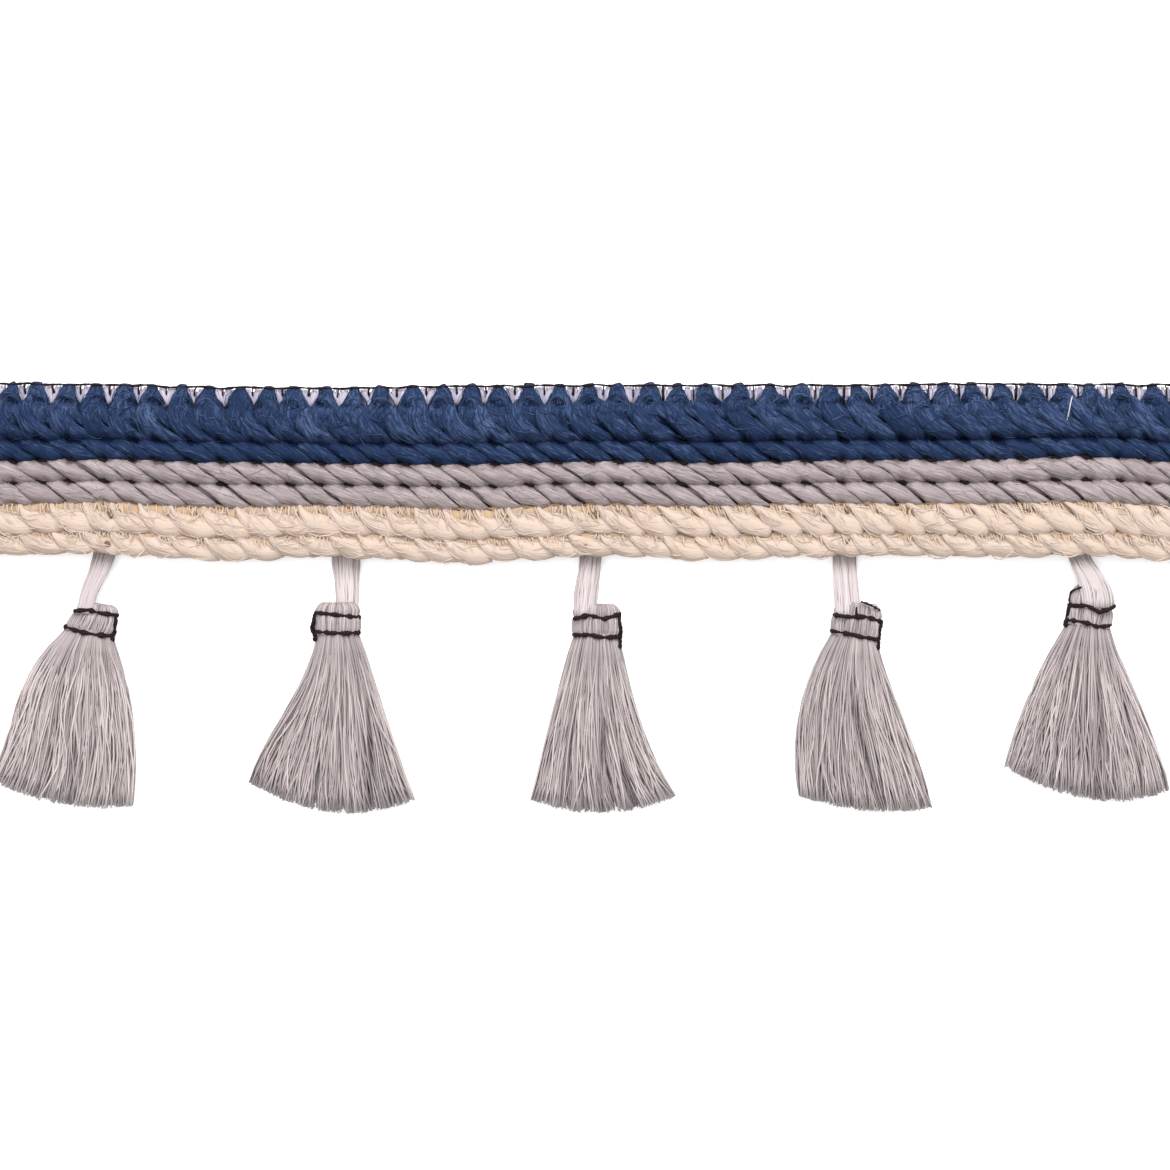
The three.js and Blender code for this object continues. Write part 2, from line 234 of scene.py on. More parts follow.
@dataclass
class Skins:
    """Closed tubes of one make, gathered until they become one piece.

    Each tube is a grid of rings along a path. With each point go its place in the straightened yarn (length
    along it, and the two directions across it), a shade of its own from 0, dark, to 1, light, and its
    painted light, from 0, where the colour is all the finish's painted shade, to 1, where there is none.
    """

    points: list[Array] = field(default_factory=list)
    quads: list[Array] = field(default_factory=list)
    fibre: list[Array] = field(default_factory=list)
    shade: list[Array] = field(default_factory=list)
    painted_light: list[Array] = field(default_factory=list)
    count: int = 0

    def add_rings(
        self, rings: Array, fibre: Array, shade: Array | float, painted_light: Array | None = None
    ) -> None:
        """Adds tubes whose rings are already worked out, and closes both ends with quads across the ring.

        Args:
            rings: Points, shape (tubes, rings, sides, 3), with an even number of sides.
            fibre: Places in the straightened yarn, of the same shape.
            shade: One shade a tube, shape (tubes,), or one for all.
            painted_light: Painted light, 0 for all painted shade, shape (tubes, rings, sides), or None for
                1.
        """
        tubes, steps, sides, _ = rings.shape
        index = self.count + np.arange(tubes * steps * sides).reshape(tubes, steps, sides)
        near, far = index[:, :-1], index[:, 1:]
        walls = np.stack([near, np.roll(near, -1, 2), np.roll(far, -1, 2), far], axis=-1)
        self.quads.append(walls.reshape(-1, 4))
        for i in range((sides - 2) // 2):
            across = [i, i + 1, sides - 2 - i, sides - 1 - i]
            self.quads.append(index[:, -1][:, across])
            self.quads.append(index[:, 0][:, across[::-1]])
        self.points.append(rings.reshape(-1, 3))
        apart = FIBRES_APART * (self.count + np.arange(tubes))[:, None, None, None]
        self.fibre.append((fibre + apart * np.array([1.0, 0.0, 0.0])).reshape(-1, 3))
        self.shade.append(np.repeat(np.broadcast_to(shade, tubes), steps * sides))
        painted_lit = np.ones((tubes, steps, sides)) if painted_light is None else painted_light
        self.painted_light.append(painted_lit.reshape(-1))
        self.count += tubes * steps * sides

    def add(
        self,
        paths: Array,
        wide: Array,
        sides: int,
        shade: Array | float,
        flatness: float = 1.0,
        up: Vector = UP,
        painted_light: Array | None = None,
    ) -> None:
        """Adds plain oval tubes.

        Args:
            paths, wide, sides, up: As in sweep.
            shade, painted_light: As in add_rings.
            flatness: Half thickness as a share of the half width.
        """
        rings, fibre = sweep(paths, wide, flatness * wide, sides, up)
        self.add_rings(rings, fibre, shade, painted_light)

    def hand_over(
        self, name: str, finish: "YarnFinish", *nodes: str, rounded: bool = True
    ) -> bpy.types.Object:
        """Makes the gathered tubes one piece, in metres and at the origin, that rides on the root body.

        Args:
            name: The piece's name.
            finish: Its finish.
            nodes: CAD nodes that the piece replaces, if any.
            rounded: Whether it is shaded smooth.

        Returns:
            The piece.
        """
        points = np.concatenate(self.points) * MM
        quads = np.concatenate(self.quads)
        mesh = bpy.data.meshes.new(name)
        mesh.vertices.add(len(points))
        mesh.vertices.foreach_set("co", points.ravel())
        mesh.loops.add(quads.size)
        mesh.loops.foreach_set("vertex_index", quads.ravel().astype(np.int32))
        mesh.polygons.add(len(quads))
        mesh.polygons.foreach_set("loop_start", np.arange(0, quads.size, 4, dtype=np.int32))
        mesh.polygons.foreach_set("use_smooth", np.full(len(quads), rounded))
        mesh.update(calc_edges=True)
        for label, kind, key, parts in (
            ("fibre", "FLOAT_VECTOR", "vector", self.fibre),
            ("shade", "FLOAT", "value", self.shade),
            ("painted_light", "FLOAT", "value", self.painted_light),
        ):
            layer = mesh.attributes.new(label, kind, "POINT")
            layer.data.foreach_set(key, np.concatenate(parts).ravel())
        mesh.materials.append(finish.material())
        piece = add_object(name, mesh)
        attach(piece, "root")
        if nodes:
            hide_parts(*nodes)
        LOG.info("%s: %d faces", name, len(quads))
        return piece


# ------------------------------------------------------------------------------------------------- finishes


def linear(code: str) -> tuple[float, float, float, float]:
    """An sRGB hex colour as the linear colour that shaders take.

    Args:
        code: Six hex digits.

    Returns:
        Red, green, blue and 1.
    """
    parts = [int(code[i : i + 2], 16) / 255.0 for i in (0, 2, 4)]
    red, green, blue = (c / 12.92 if c <= 0.04045 else ((c + 0.055) / 1.055) ** 2.4 for c in parts)
    return (red, green, blue, 1.0)


def add_node(
    tree: bpy.types.NodeTree,
    kind: str,
    settings: dict[str, object] | None = None,
    values: dict[object, object] | None = None,
    links: dict[object, bpy.types.NodeSocket] | None = None,
) -> bpy.types.Node:
    """Adds one node, sets its own settings and its sockets' values, and links its sockets.

    Args:
        tree: The node tree.
        kind: The node's type name.
        settings: Its properties by name.
        values: Values of its input sockets, by name or place.
        links: Output sockets that its input sockets are fed from, by name or place.

    Returns:
        The node.
    """
    made = tree.nodes.new(kind)
    for name, value in (settings or {}).items():
        setattr(made, name, value)
    set_sockets(made, values or {})
    for name, socket in (links or {}).items():
        tree.links.new(socket, made.inputs[name])
    return made


@dataclass(frozen=True)
class YarnFinish:
    """A yarn or thread: fibres that run along it, each a little lighter or darker than the next.

    The colour goes from `dark` through `middle` to `light` with the fibre and with the yarn's own shade,
    and towards the painted shade colour where the yarn dips between its neighbours, by the piece's painted
    light. The fibres stand out as fine ridges.
    """

    name: str
    slot: str
    # colour of the painted shade in the hollows between yarns
    painted_shade: str
    dark: str
    middle: str
    light: str
    fibre_width: float  # mm across one bundle of fibres, as coarse as it needs to show
    fibre_length: float  # mm along it
    relief: float  # strength of the ridges
    fibre_share: float  # how much of the shade comes from the fibres rather than from the yarn
    roughness: float = 0.85
    sheen: float = 0.25
    specular: float = 0.3

    def material(self) -> bpy.types.Material:
        """Makes the finish, once, as a node material that reads each piece's fibre, shade and painted light.

        Returns:
            The material.
        """
        if self.name in bpy.data.materials:
            return bpy.data.materials[self.name]
        made = bpy.data.materials.new(self.name)
        made.use_nodes = True
        tree = made.node_tree
        place, shade, painted_lit = (
            add_node(tree, "ShaderNodeAttribute", {"attribute_name": label}).outputs
            for label in ("fibre", "shade", "painted_light")
        )
        scale = (1.0 / self.fibre_length, 1.0 / self.fibre_width, 1.0 / self.fibre_width)
        stretched = add_node(tree, "ShaderNodeMapping", {}, {"Scale": scale}, {"Vector": place["Vector"]})
        grain = {"Scale": 1.0, "Detail": 3.0, "Roughness": 0.6}
        fibres = add_node(tree, "ShaderNodeTexNoise", {}, grain, {"Vector": stretched.outputs["Vector"]})
        clipped = {"From Min": 0.3, "From Max": 0.7}
        spread = add_node(tree, "ShaderNodeMapRange", {}, clipped, {"Value": fibres.outputs["Fac"]})
        tones = {2: shade["Fac"], 3: spread.outputs["Result"]}
        tone = add_node(tree, "ShaderNodeMix", {"data_type": "FLOAT"}, {0: self.fibre_share}, tones)
        ramp = add_node(tree, "ShaderNodeValToRGB", links={"Fac": tone.outputs[0]})
        ramp.color_ramp.elements[0].color = linear(self.dark)
        ramp.color_ramp.elements[1].color = linear(self.light)
        ramp.color_ramp.elements.new(0.5).color = linear(self.middle)
        # Painted shade: the colour goes towards the finish's painted shade colour where the painted light is
        # low.
        colours = {0: painted_lit["Fac"], 7: ramp.outputs["Color"]}
        colour = add_node(tree, "ShaderNodeMix", {"data_type": "RGBA"}, {6: linear(self.painted_shade)}, colours)
        depth = {"Strength": self.relief, "Distance": self.fibre_width * MM}
        relief = add_node(tree, "ShaderNodeBump", {}, depth, {"Height": fibres.outputs["Fac"]})
        shader = tree.nodes["Principled BSDF"]
        tree.links.new(colour.outputs[2], shader.inputs["Base Color"])
        tree.links.new(relief.outputs["Normal"], shader.inputs["Normal"])
        gloss = {"Roughness": self.roughness, "Specular IOR Level": self.specular}
        set_sockets(shader, {**gloss, "Sheen Weight": self.sheen, "Sheen Roughness": 0.6})
        return made


# Carded cotton roving, dyed navy: soft, matt, with paler fibres on top; near-black between the strands is
# painted shade.
NAVY_ROVING = YarnFinish(
    "carded_cotton_roving_navy", "navy_roving",
    "07142C", "0B172C", "1D2A44", "4D5C7A", 0.25, 1.8, 0.6, 0.5, 0.95, 0.0, 0.06,
)
# The same roving left ecru: warm and matt; the tan where the strands part is painted shade.
CREAM_ROVING = YarnFinish(
    "carded_cotton_roving_cream", "cream_roving",
    "A38A71", "AE947A", "AC9B8F", "A89B92", 0.2, 3.0, 0.8, 0.6, 0.95, 0.0, 0.06,
)
# Laid yarn of viscose, warm grey: smoother and closer than the roving, with a slight sheen.
GREY_CORD = YarnFinish(
    "laid_viscose_yarn_grey", "grey_cord",
    "3E3134", "5F5454", "7E7373", "A29797", 0.22, 4.0, 0.6, 0.6, 0.7, 0.05, 0.2,
)
# Fine viscose yarn of the tassels, warm grey: each yarn smooth and round enough to shine along one side.
TASSEL_YARN = YarnFinish(
    "fine_viscose_yarn_grey", "tassel_yarn",
    "4C4143", "716668", "928786", "B4AAA8", 0.1, 6.0, 0.3, 0.25, 0.55, 0.08, 0.35,
)
# The same yarn undyed, in the hanging loops.
LOOP_YARN = YarnFinish(
    "fine_viscose_yarn_white", "loop_yarn",
    "7A6F70", "8C8283", "9C9292", "AFA6A5", 0.1, 6.0, 0.3, 0.3, 0.7, 0.08, 0.2,
)
# Two-ply polyester sewing thread, black: its plies show as a fine twist.
BLACK_THREAD = YarnFinish(
    "polyester_sewing_thread_black", "black_thread",
    "080405", "110A0B", "1C1214", "2E2224", 0.1, 0.8, 0.5, 0.5, 0.8, 0.0, 0.1,
)
# The same thread where it sinks into the cream roving: its fibres veil it to brown.
VEILED_THREAD = YarnFinish(
    "polyester_sewing_thread_veiled", "black_thread",
    "4A362C", "594337", "705A49", "9A816B", 0.1, 0.8, 0.5, 0.5, 0.9, 0.0, 0.05,
)
# Warp-knitted ground yarn, white with a lilac cast.
GROUND_YARN = YarnFinish(
    "warp_knitted_ground_yarn_white", "ground_yarn",
    "4A4860", "625E78", "8B8696", "B6AFB8", 0.15, 2.0, 0.5, 0.5,
)


# -------------------------------------------------------------------------------------------------- heading


@dataclass(frozen=True)
class Wander:
    """How far the heading's lines wander from straight, as in the part's source.

    Each station gives, at one place along the heading, the shift of its top edge, of the line between navy
    and grey, and of its bottom edge, which every tassel loop draws up.
    """

    top_line: float = 29.8
    middle_line: float = 19.1
    bottom_line: float = 5.0
    x: Floats = (-86.1, -69.0, -52.0, -35.0, -17.0, 0.0, 18.0, 36.0, 53.0, 69.0, 86.1)
    top: Floats = (0.3, 0.1, -0.3, -0.4, -0.1, 0.0, 0.0, 0.0, 0.2, 0.1, 0.0)
    middle: Floats = (0.0, 0.3, 0.0, -0.3, -0.4, 0.0, -0.1, 0.2, 0.2, 0.7, -0.3)
    bottom: Floats = (0.5, 1.0, -0.1, 0.6, -0.4, 0.6, 0.1, 0.6, 0.5, 0.6, -0.2)

    def column(self, x: Array, values: Floats) -> Array:
        """One column at x, eased from each station to the next.

        Args:
            x: Places along the heading.
            values: The column.

        Returns:
            Its value at each place.
        """
        stations = np.asarray(self.x)
        at = np.clip(x, stations[0], stations[-1])
        after = np.clip(np.searchsorted(stations, at), 1, len(stations) - 1)
        share = smooth((at - stations[after - 1]) / (stations[after] - stations[after - 1]))
        table = np.asarray(values)
        return mix(table[after - 1], table[after], share)

    def place(self, x: Array, y: Array | float) -> Array:
        """Where the line that would run straight at y really lies at x.

        Args:
            x: Places along the heading.
            y: The straight line.

        Returns:
            Y at each place.
        """
        level = np.broadcast_to(np.asarray(y, dtype=float), np.shape(x))
        upper = (level - self.middle_line) / (self.top_line - self.middle_line)
        lower = (level - self.middle_line) / (self.bottom_line - self.middle_line)
        outer = np.where(upper > 0, self.column(x, self.top), self.column(x, self.bottom))
        share = np.where(upper > 0, upper, lower)
        return level + mix(self.column(x, self.middle), outer, share)


WANDER = Wander()
TURN = (-12.0, 18.0)  # the stretch, in mm along X, over which the stitches' make turns
CUT_MARGIN = 0.2  # mm from a cut end within which a strand is pinched off
CUT_FACE = 0.1  # mm from a cut end where the pinched strands stop
LOOSE_MARGIN = 0.4  # mm that no loose fibre comes closer to a cut end


def heading_span() -> Pair:
    """The two cut ends of the heading, in mm along X, from the ground tape's box."""
    low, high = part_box("ground_tape")
    return low[0] / MM, high[0] / MM


def rightness(x: Array) -> Array:
    """How far the heading's make has turned, at x, from its left half's, 0, to its right half's, 1."""
    return smooth((x - TURN[0]) / (TURN[1] - TURN[0]))


@dataclass(frozen=True)
class Stitches:
    """Where one thing a stitch lies along the heading: evenly, but for a slow drift and some unevenness."""

    pitch: float
    first: float  # the first place, mm from the cut end
    x: Floats
    drift: Floats
    seed: int
    unevenness: float  # mm

    def places(self, before: int = 0, after: int = 0) -> Array:
        """The places from one cut end to the other.

        Args:
            before: Number of further places before the first.
            after: Number of further places past the last.

        Returns:
            Places in mm along X.
        """
        start, end = heading_span()
        count = int((end - start - self.first) / self.pitch) + 1
        regular = start + self.first + self.pitch * np.arange(-before, count + after)
        uneven = np.random.default_rng(self.seed).normal(0.0, self.unevenness, len(regular))
        return regular + np.interp(regular, self.x, self.drift) + uneven


# The domes along the edge are a little closer than the stitches that all other rows share.
DOMES = Stitches(
    4.1,
    0.82,
    (-81.0, -41.0, 0.0, 21.0, 33.0, 42.0, 58.0, 79.0),
    (0.0, -1.1, -1.0, -0.5, 0.0, -0.4, -0.8, 0.0),
    seed=31,
    unevenness=0.16,
)
HOLES = Stitches(
    4.286,
    0.94,
    (-76.6, -63.7, -50.9, -38.0, -25.2, -12.3, 0.6, 26.3, 39.1, 52.0, 64.8, 77.7),
    (0.1, -0.25, -0.25, 0.25, -0.65, -0.8, -0.7, -0.45, -0.45, 0.1, 0.2, 0.1),
    seed=32,
    unevenness=0.3,
)

# Short brown stitches that catch the cream rows down, which also darken their dimples as painted shade:
# x, y, and length in mm.
TICKS = (
    (-66.7, 11.45, 1.1), (-67.2, 7.4, 1.3), (0.55, 11.2, 1.2), (-0.55, 7.3, 1.2), (35.7, 12.0, 0.9),
    (35.7, 7.7, 1.0), (44.2, 12.2, 0.8), (56.4, 12.4, 0.8), (60.7, 12.2, 0.8), (78.5, 11.6, 1.0),
)  # fmt: skip


@dataclass
class StrandRow:
    """One row of the heading: a strand a stitch, slanting down to the right between two lines of holes.

    A strand's centre line is a cubic curve. Its four points are given in stitches to the right and in
    shares of the row's height down, so that both ends are tucked under the rows above and below. Its half
    width at even places along it is the belly times the profile. The whole row rolls down at each line, by
    dip * (1 - d / roll)^3 at a distance d inside the line, which leaves a straight valley between two rows,
    and it is pressed into a pit round each hole, by pit times the bell curves of the distances along the
    strands' slant and across it.
    """

    node: str
    top: float
    bottom: float
    course: Pairs
    profile: Floats
    belly: float  # half width in mm
    thickness: float  # half thickness in mm
    finish: YarnFinish
    seed: int
    fluff: float = 0.05  # how far fibres stand off, mm
    stray: float = 0.05  # how far a fibre strays round its strand, in turns
    flutes: float = 0.06  # depth of the hollows along a strand, as a share of its width
    crease: Pair = (0.1, 0.5)  # heights on the oval where the painted shade is full and where it ends
    dips: Pair = (0.8, 0.8)  # how deep the row dips at its upper and lower line, mm
    roll: float = 1.6  # over this distance from the line, mm
    sinks: Pair = (0.0, 0.0)  # how deep a strand's top and tail lie under it, mm
    core: float = 1.0  # half width of the strands' hidden run, mm
    run_painted_light: float = 0.12  # painted light of that run, near 0 so that it shows as painted shade
    pit: float = 1.0  # depth of the pits round the holes, mm
    shadow: Pair = (2.0, 1.0)  # depths under the crest where the painted shade is full and where it ends, mm
    core_level: float = 0.95  # height of the hidden run's middle over the row's underside, mm
    tone: float = 0.5  # mean shade of the strands
    sides: int = 12
    steps: int = 18
    fibres_a_strand: int = 20
    veil: int = 0  # fibres a stitch that hang over the hollows between the strands' tops
    squareness: float = 0.8
    fibre_radius: Pair = (0.035, 0.07)
    ribbon: float = 1.0  # how thick a fibre is for its width; flat ones are tufts that lie like ribbons
    lay: float = 0.0  # how far the fibres of a twisted strand drift across it for each mm along it
    right_course: Pairs | None = None  # the course that it turns to on the right half
    pit_size: Vector = (0.9, 0.4, 0.4)  # of a pit along the strands' slant and across it, mm, and that slant
    tick_pit: float = 0.6  # depth and size of the pit round a catching stitch, mm
    lobes: tuple[int, ...] = (2, 3, 5)  # flutes round a strand
    cut_swell: float = 1.5  # mm before each cut over which the hidden run swells

    def extent(self) -> Pair:
        """The row's lowest and highest level in mm, from its CAD node."""
        low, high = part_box(self.node)
        return low[2] / MM, high[2] / MM

    def centre_lines(self, rng: Rng, t: Array) -> Array:
        """The strands' centre lines, each end sunk by sink * (its share of the way)^2.

        Args:
            rng: Source of the unevenness.
            t: Shares of the way from top to tail.

        Returns:
            Paths, shape (strands, steps, 3).
        """
        _, crest = self.extent()
        holes = HOLES.places(3, 2)
        middles = 0.5 * (holes[1:] + holes[:-1])
        turned = rightness(middles[:-1])[:, None, None]
        course = mix(np.asarray(self.course), np.asarray(self.right_course or self.course), turned)
        index = np.arange(len(middles) - 1)[:, None] + course[..., 0]
        x = np.interp(index, np.arange(len(middles)), middles)
        x[:, 1:] += rng.normal(0.0, 0.12, (len(x), 3))
        y = WANDER.place(x, self.top + (self.bottom - self.top) * course[..., 1])
        y = y + rng.normal(0.0, 0.08, y.shape)
        paths = bezier(joined(x, y, crest - self.thickness), len(t))
        sunk = self.sinks[0] * np.clip(1.0 - t / 0.4, 0.0, 1.0) ** 2
        sunk = sunk + self.sinks[1] * np.clip((t - 0.5) / 0.5, 0.0, 1.0) ** 2
        paths[..., 2] -= sunk + 0.15 * rng.random((len(x), 1))
        paths[..., 1] += 0.06 * waves(rng, even(*paths.shape[:2]), 1.0)
        return paths

    def dip(self, points: Array) -> Array:
        """How far the row's roll has sunk at each point.

        Args:
            points: Shape (tubes, steps, sides, 3).

        Returns:
            Depths in mm, shape (tubes, steps, sides).
        """
        upper = WANDER.place(points[..., 0], self.top) - points[..., 1]
        lower = points[..., 1] - WANDER.place(points[..., 0], self.bottom)
        sunk = self.dips[0] * np.clip(1.0 - upper / self.roll, 0.0, 1.4) ** 3
        sunk = sunk + self.dips[1] * np.clip(1.0 - lower / self.roll, 0.0, 1.4) ** 3
        holes = HOLES.places(2, 2)
        after = np.clip(np.searchsorted(holes, points[..., 0]), 1, len(holes) - 1)
        past, ahead = points[..., 0] - holes[after - 1], points[..., 0] - holes[after]
        right = np.where(past < -ahead, past, ahead)
        (long, short, slant), size = self.pit_size, self.tick_pit
        for up in (-upper, lower):
            sunk = sunk + self.pit * bell(right, long) * bell(up + slant * right, short)
        for x, y, _ in TICKS:
            sunk = sunk + self.tick_pit * bell(points[..., 0] - x, size) * bell(points[..., 1] - y, size)
        return sunk

    def tubes(
        self,
        skins: Skins,
        rng: Rng,
        paths: Array,
        wide: Array,
        high: Array,
        shade: float,
        crease: Pair,
        depth: Pair | None = None,
    ) -> Array:
        """Adds tubes, each swollen by flutes that turn slowly round it, and pinched off at the cuts.

        Args:
            skins: Where they go.
            rng: Source of the unevenness.
            paths: Centre lines, shape (tubes, steps, 3).
            wide: Half widths, broadcast to (tubes, steps).
            high: Half thicknesses, likewise.
            shade: Mean shade.
            crease: Heights on the oval where the painted shade is full and where it ends.
            depth: Depths under the crest where the painted shade is full and where it ends, or None for the
                row's shadow.

        Returns:
            Their rings, shape (tubes, steps, sides, 3).
        """
        count, steps, _ = paths.shape
        start, end = heading_span()
        floor, crest_level = self.extent()
        t = np.linspace(0.0, 1.0, steps)
        size = 1.0 + rng.normal(0.0, 0.07, (count, 1)) + 0.04 * waves(rng, even(count, steps), 1.5)
        inside = (paths[..., 0] > start + CUT_MARGIN) & (paths[..., 0] < end - CUT_MARGIN)
        paths[..., 0] = np.clip(paths[..., 0], start + CUT_FACE, end - CUT_FACE)
        angle = np.linspace(0.0, 2.0 * np.pi, self.sides, endpoint=False)
        swell = np.ones((count, steps, self.sides))
        for lobes in self.lobes:
            turn = rng.uniform(-0.9, 0.9, (count, 1, 1)) * t[:, None] + rng.random((count, 1, 1))
            swell += np.cos(lobes * angle + 2.0 * np.pi * turn) * self.flutes / math.sqrt(lobes)
        wide = np.where(inside, wide * size, 0.02)
        high = np.where(inside, high * size, 0.02)
        rings, fibre = sweep(paths, wide, high, self.sides, swell=swell, squareness=self.squareness)
        rings[..., 2] = np.maximum(rings[..., 2] - self.dip(rings), floor - 0.2)
        fibre[..., 1] -= self.lay * fibre[..., 0]
        # Painted shade: darker on the lower side of each oval and deep under the row's crest.
        low, full = crease
        deep, open_depth = self.shadow if depth is None else depth
        height = (rings[..., 2] - crest_level + deep) / (deep - open_depth)
        painted_lit = smooth((np.sin(angle) - low) / (full - low)) * smooth(height)
        skins.add_rings(rings, fibre, shades(rng, shade, 0.1, count), painted_lit)
        return rings

    def strands(self, skins: Skins) -> Array:
        """Adds the row's strands.

        Args:
            skins: Where they go.

        Returns:
            The rings, shape (strands, steps, sides, 3).
        """
        rng = np.random.default_rng(self.seed)
        t = np.linspace(0.0, 1.0, self.steps)
        paths = self.centre_lines(rng, t)
        wide = self.belly * spline(np.asarray(self.profile)[None, :, None], self.steps)[..., 0]
        high = self.thickness * (0.6 + 0.4 * np.sin(np.pi * t) ** 0.5)
        return self.tubes(skins, rng, paths, wide, high[None], self.tone, self.crease)

    def hidden_run(self, skins: Skins) -> None:
        """Adds the run of the strands behind their visible part: a wavy rod that backs their gaps.

        Over the last `cut_swell` before each cut it swells to most of the row's section, as the cut strands
        fill it. It takes nearly all the finish's painted shade, as the shadow in the strands' gaps.

        Args:
            skins: Where it goes.
        """
        rng = np.random.default_rng(self.seed + 90)
        start, end = heading_span()
        floor, crest = self.extent()
        x = np.linspace(start + CUT_MARGIN, end - CUT_MARGIN, STITCHES * 4)
        y = WANDER.place(x, 0.5 * (self.top + self.bottom) + 0.3) + 0.1 * waves(rng, x[None], 0.12)[0]
        cut = smooth(1.2 - np.minimum(x - start, end - x) / self.cut_swell)
        tall = crest - floor
        core = self.core * (1.0 + 0.06 * waves(rng, x[None], 0.25))
        wide = mix(core, 0.46 * (self.top - self.bottom), cut)
        high = mix(0.9, 0.42 * tall, cut)[None]
        level = floor + mix(self.core_level, 0.45 * tall, cut)
        rings, fibre = sweep(joined(x, y, level)[None], wide, high, self.sides)
        # Painted shade: the run is coloured almost wholly with the finish's painted shade colour.
        skins.add_rings(rings, fibre, 0.3, np.full(rings.shape[:3], self.run_painted_light))

    def fibres(self, skins: Skins, rings: Array, a_strand: int) -> None:
        """Adds loose fibres that lie along the strands and stray a little round them.

        A fibre follows the strand's surface from one ring to another, at an angle round the ring that
        changes evenly, and stands off it by a height that swells and dies away.

        Args:
            skins: Where they go.
            rings: The strands' rings.
            a_strand: Number of fibres on each strand.
        """
        rng = np.random.default_rng(self.seed + 50)
        strands, steps, sides, _ = rings.shape
        count = strands * a_strand
        pick = np.repeat(np.arange(strands), a_strand)[:, None]
        run = np.linspace(0.0, 1.0, 5)
        length = rng.uniform(0.12, 0.5, count)
        begin = rng.uniform(0.0, 1.0, count) * (0.97 - length)
        row = (begin[:, None] + length[:, None] * run) * (steps - 1)
        middle = rings.mean(axis=2)
        reach = np.linalg.norm(np.diff(middle, axis=1), axis=-1).sum(axis=1).mean()
        drift = rng.normal(0.0, self.stray, count) - self.lay * reach * length / (2.0 * np.pi * self.belly)
        turn = rng.uniform(0.02, 0.48, count)[:, None] + drift[:, None] * (run - 0.5)
        column = (turn % 1.0) * sides
        row_index, column_index = row.astype(int), column.astype(int) % sides
        row_share, column_share = (row - row_index)[..., None], (column - column.astype(int))[..., None]
        after = np.minimum(row_index + 1, steps - 1)
        beside = (column_index + 1) % sides
        near = mix(rings[pick, row_index, column_index], rings[pick, row_index, beside], column_share)
        far = mix(rings[pick, after, column_index], rings[pick, after, beside], column_share)
        on_skin = mix(near, far, row_share)
        centre = mix(middle[pick, row_index], middle[pick, after], row_share)
        stand = 0.015 + self.fluff * rng.gamma(0.8, 0.6, count)[:, None] * np.sin(np.pi * run)
        paths = on_skin + unit(on_skin - centre) * stand[..., None]
        start, end = heading_span()
        lowest, highest = paths.min(axis=1), paths.max(axis=1)
        keep = (lowest[:, 0] > start + LOOSE_MARGIN) & (highest[:, 0] < end - LOOSE_MARGIN)
        keep &= highest[:, 2] < self.extent()[1] + 0.4
        radius = rng.uniform(*self.fibre_radius, count)[:, None] * (0.3 + 0.7 * np.sin(np.pi * run) ** 0.5)
        skins.add(paths[keep], radius[keep], 4, shades(rng, 0.6, 0.25, count)[keep], self.ribbon)

    def hanging_fibres(self, skins: Skins) -> None:
        """Adds the veil: cubic curves of fibres from under the row above that hang over the hollows.

        Args:
            skins: Where they go.
        """
        rng = np.random.default_rng(self.seed + 70)
        start, end = heading_span()
        _, crest = self.extent()
        x = np.repeat(HOLES.places(), self.veil)
        x = np.clip(x + rng.normal(0.0, 1.0, len(x)), start + 0.5, end - 1.6)
        reach = np.minimum(rng.gamma(4.0, 0.4, len(x)), 0.6 * (self.top - self.bottom))
        lean = rng.normal(0.25, 0.3, len(x)) * reach
        y = WANDER.place(x, self.top)
        level = crest - rng.uniform(0.6, 1.5, len(x))
        corners = (
            joined(x, y + 0.5, 2.4),
            joined(x, y - 0.1, level),
            joined(x + 0.4 * lean, y - 0.6 * reach, level + 0.9),
            joined(x + lean, y - reach, level + 0.7),
        )
        taper = np.array([1.0, 1.0, 0.9, 0.75, 0.3])
        radius = rng.uniform(0.05, 0.12, len(x))[:, None] * taper
        shade = shades(rng, 0.55, 0.25, len(x))
        # Each fibre takes a random share of the painted shade.
        painted_lit = np.broadcast_to(rng.uniform(0.4, 1.0, len(x))[:, None, None], (len(x), len(taper), 4))
        paths = bezier(np.stack(corners, axis=1), len(taper))
        skins.add(paths, radius, 4, shade, self.ribbon, painted_light=painted_lit)

    def bodies(self, skins: Skins) -> list[tuple[Array, int]]:
        """Adds the row's yarns.

        Args:
            skins: Where they go.

        Returns:
            Each kind of yarn: its rings, and the number of loose fibres on one yarn.
        """
        rings = self.strands(skins)
        self.hidden_run(skins)
        return [(rings, self.fibres_a_strand)]

    def build(self) -> None:
        """Builds the yarns as one piece that stands for the row's node, and the loose fibres as another."""
        yarns, loose = Skins(), Skins()
        bodies = self.bodies(yarns)
        yarns.hand_over(f"{self.node}_strands", self.finish, self.node)
        for rings, count in bodies:
            self.fibres(loose, rings, count)
        if self.veil:
            self.hanging_fibres(loose)
        loose.hand_over(f"{self.node}_fibres", self.finish, rounded=self.ribbon == 1.0)


@dataclass(frozen=True)
class Course:
    """One tube of a dome: points right of its middle and up the heading, and the half widths there."""

    points: tuple[Vector, ...]  # x from the dome's middle, y, z
    widths: Floats
    flatness: float  # half thickness as a share of the half width
    steps: int
    unevenness: float  # of its level from dome to dome, mm
    tone: float  # mean shade


DOME_CREASE = (-0.5, 0.1)  # as a row's crease and shadow, for its domes: where their painted shade is full and where it ends
DOME_SHADOW = (5.5, 3.5)


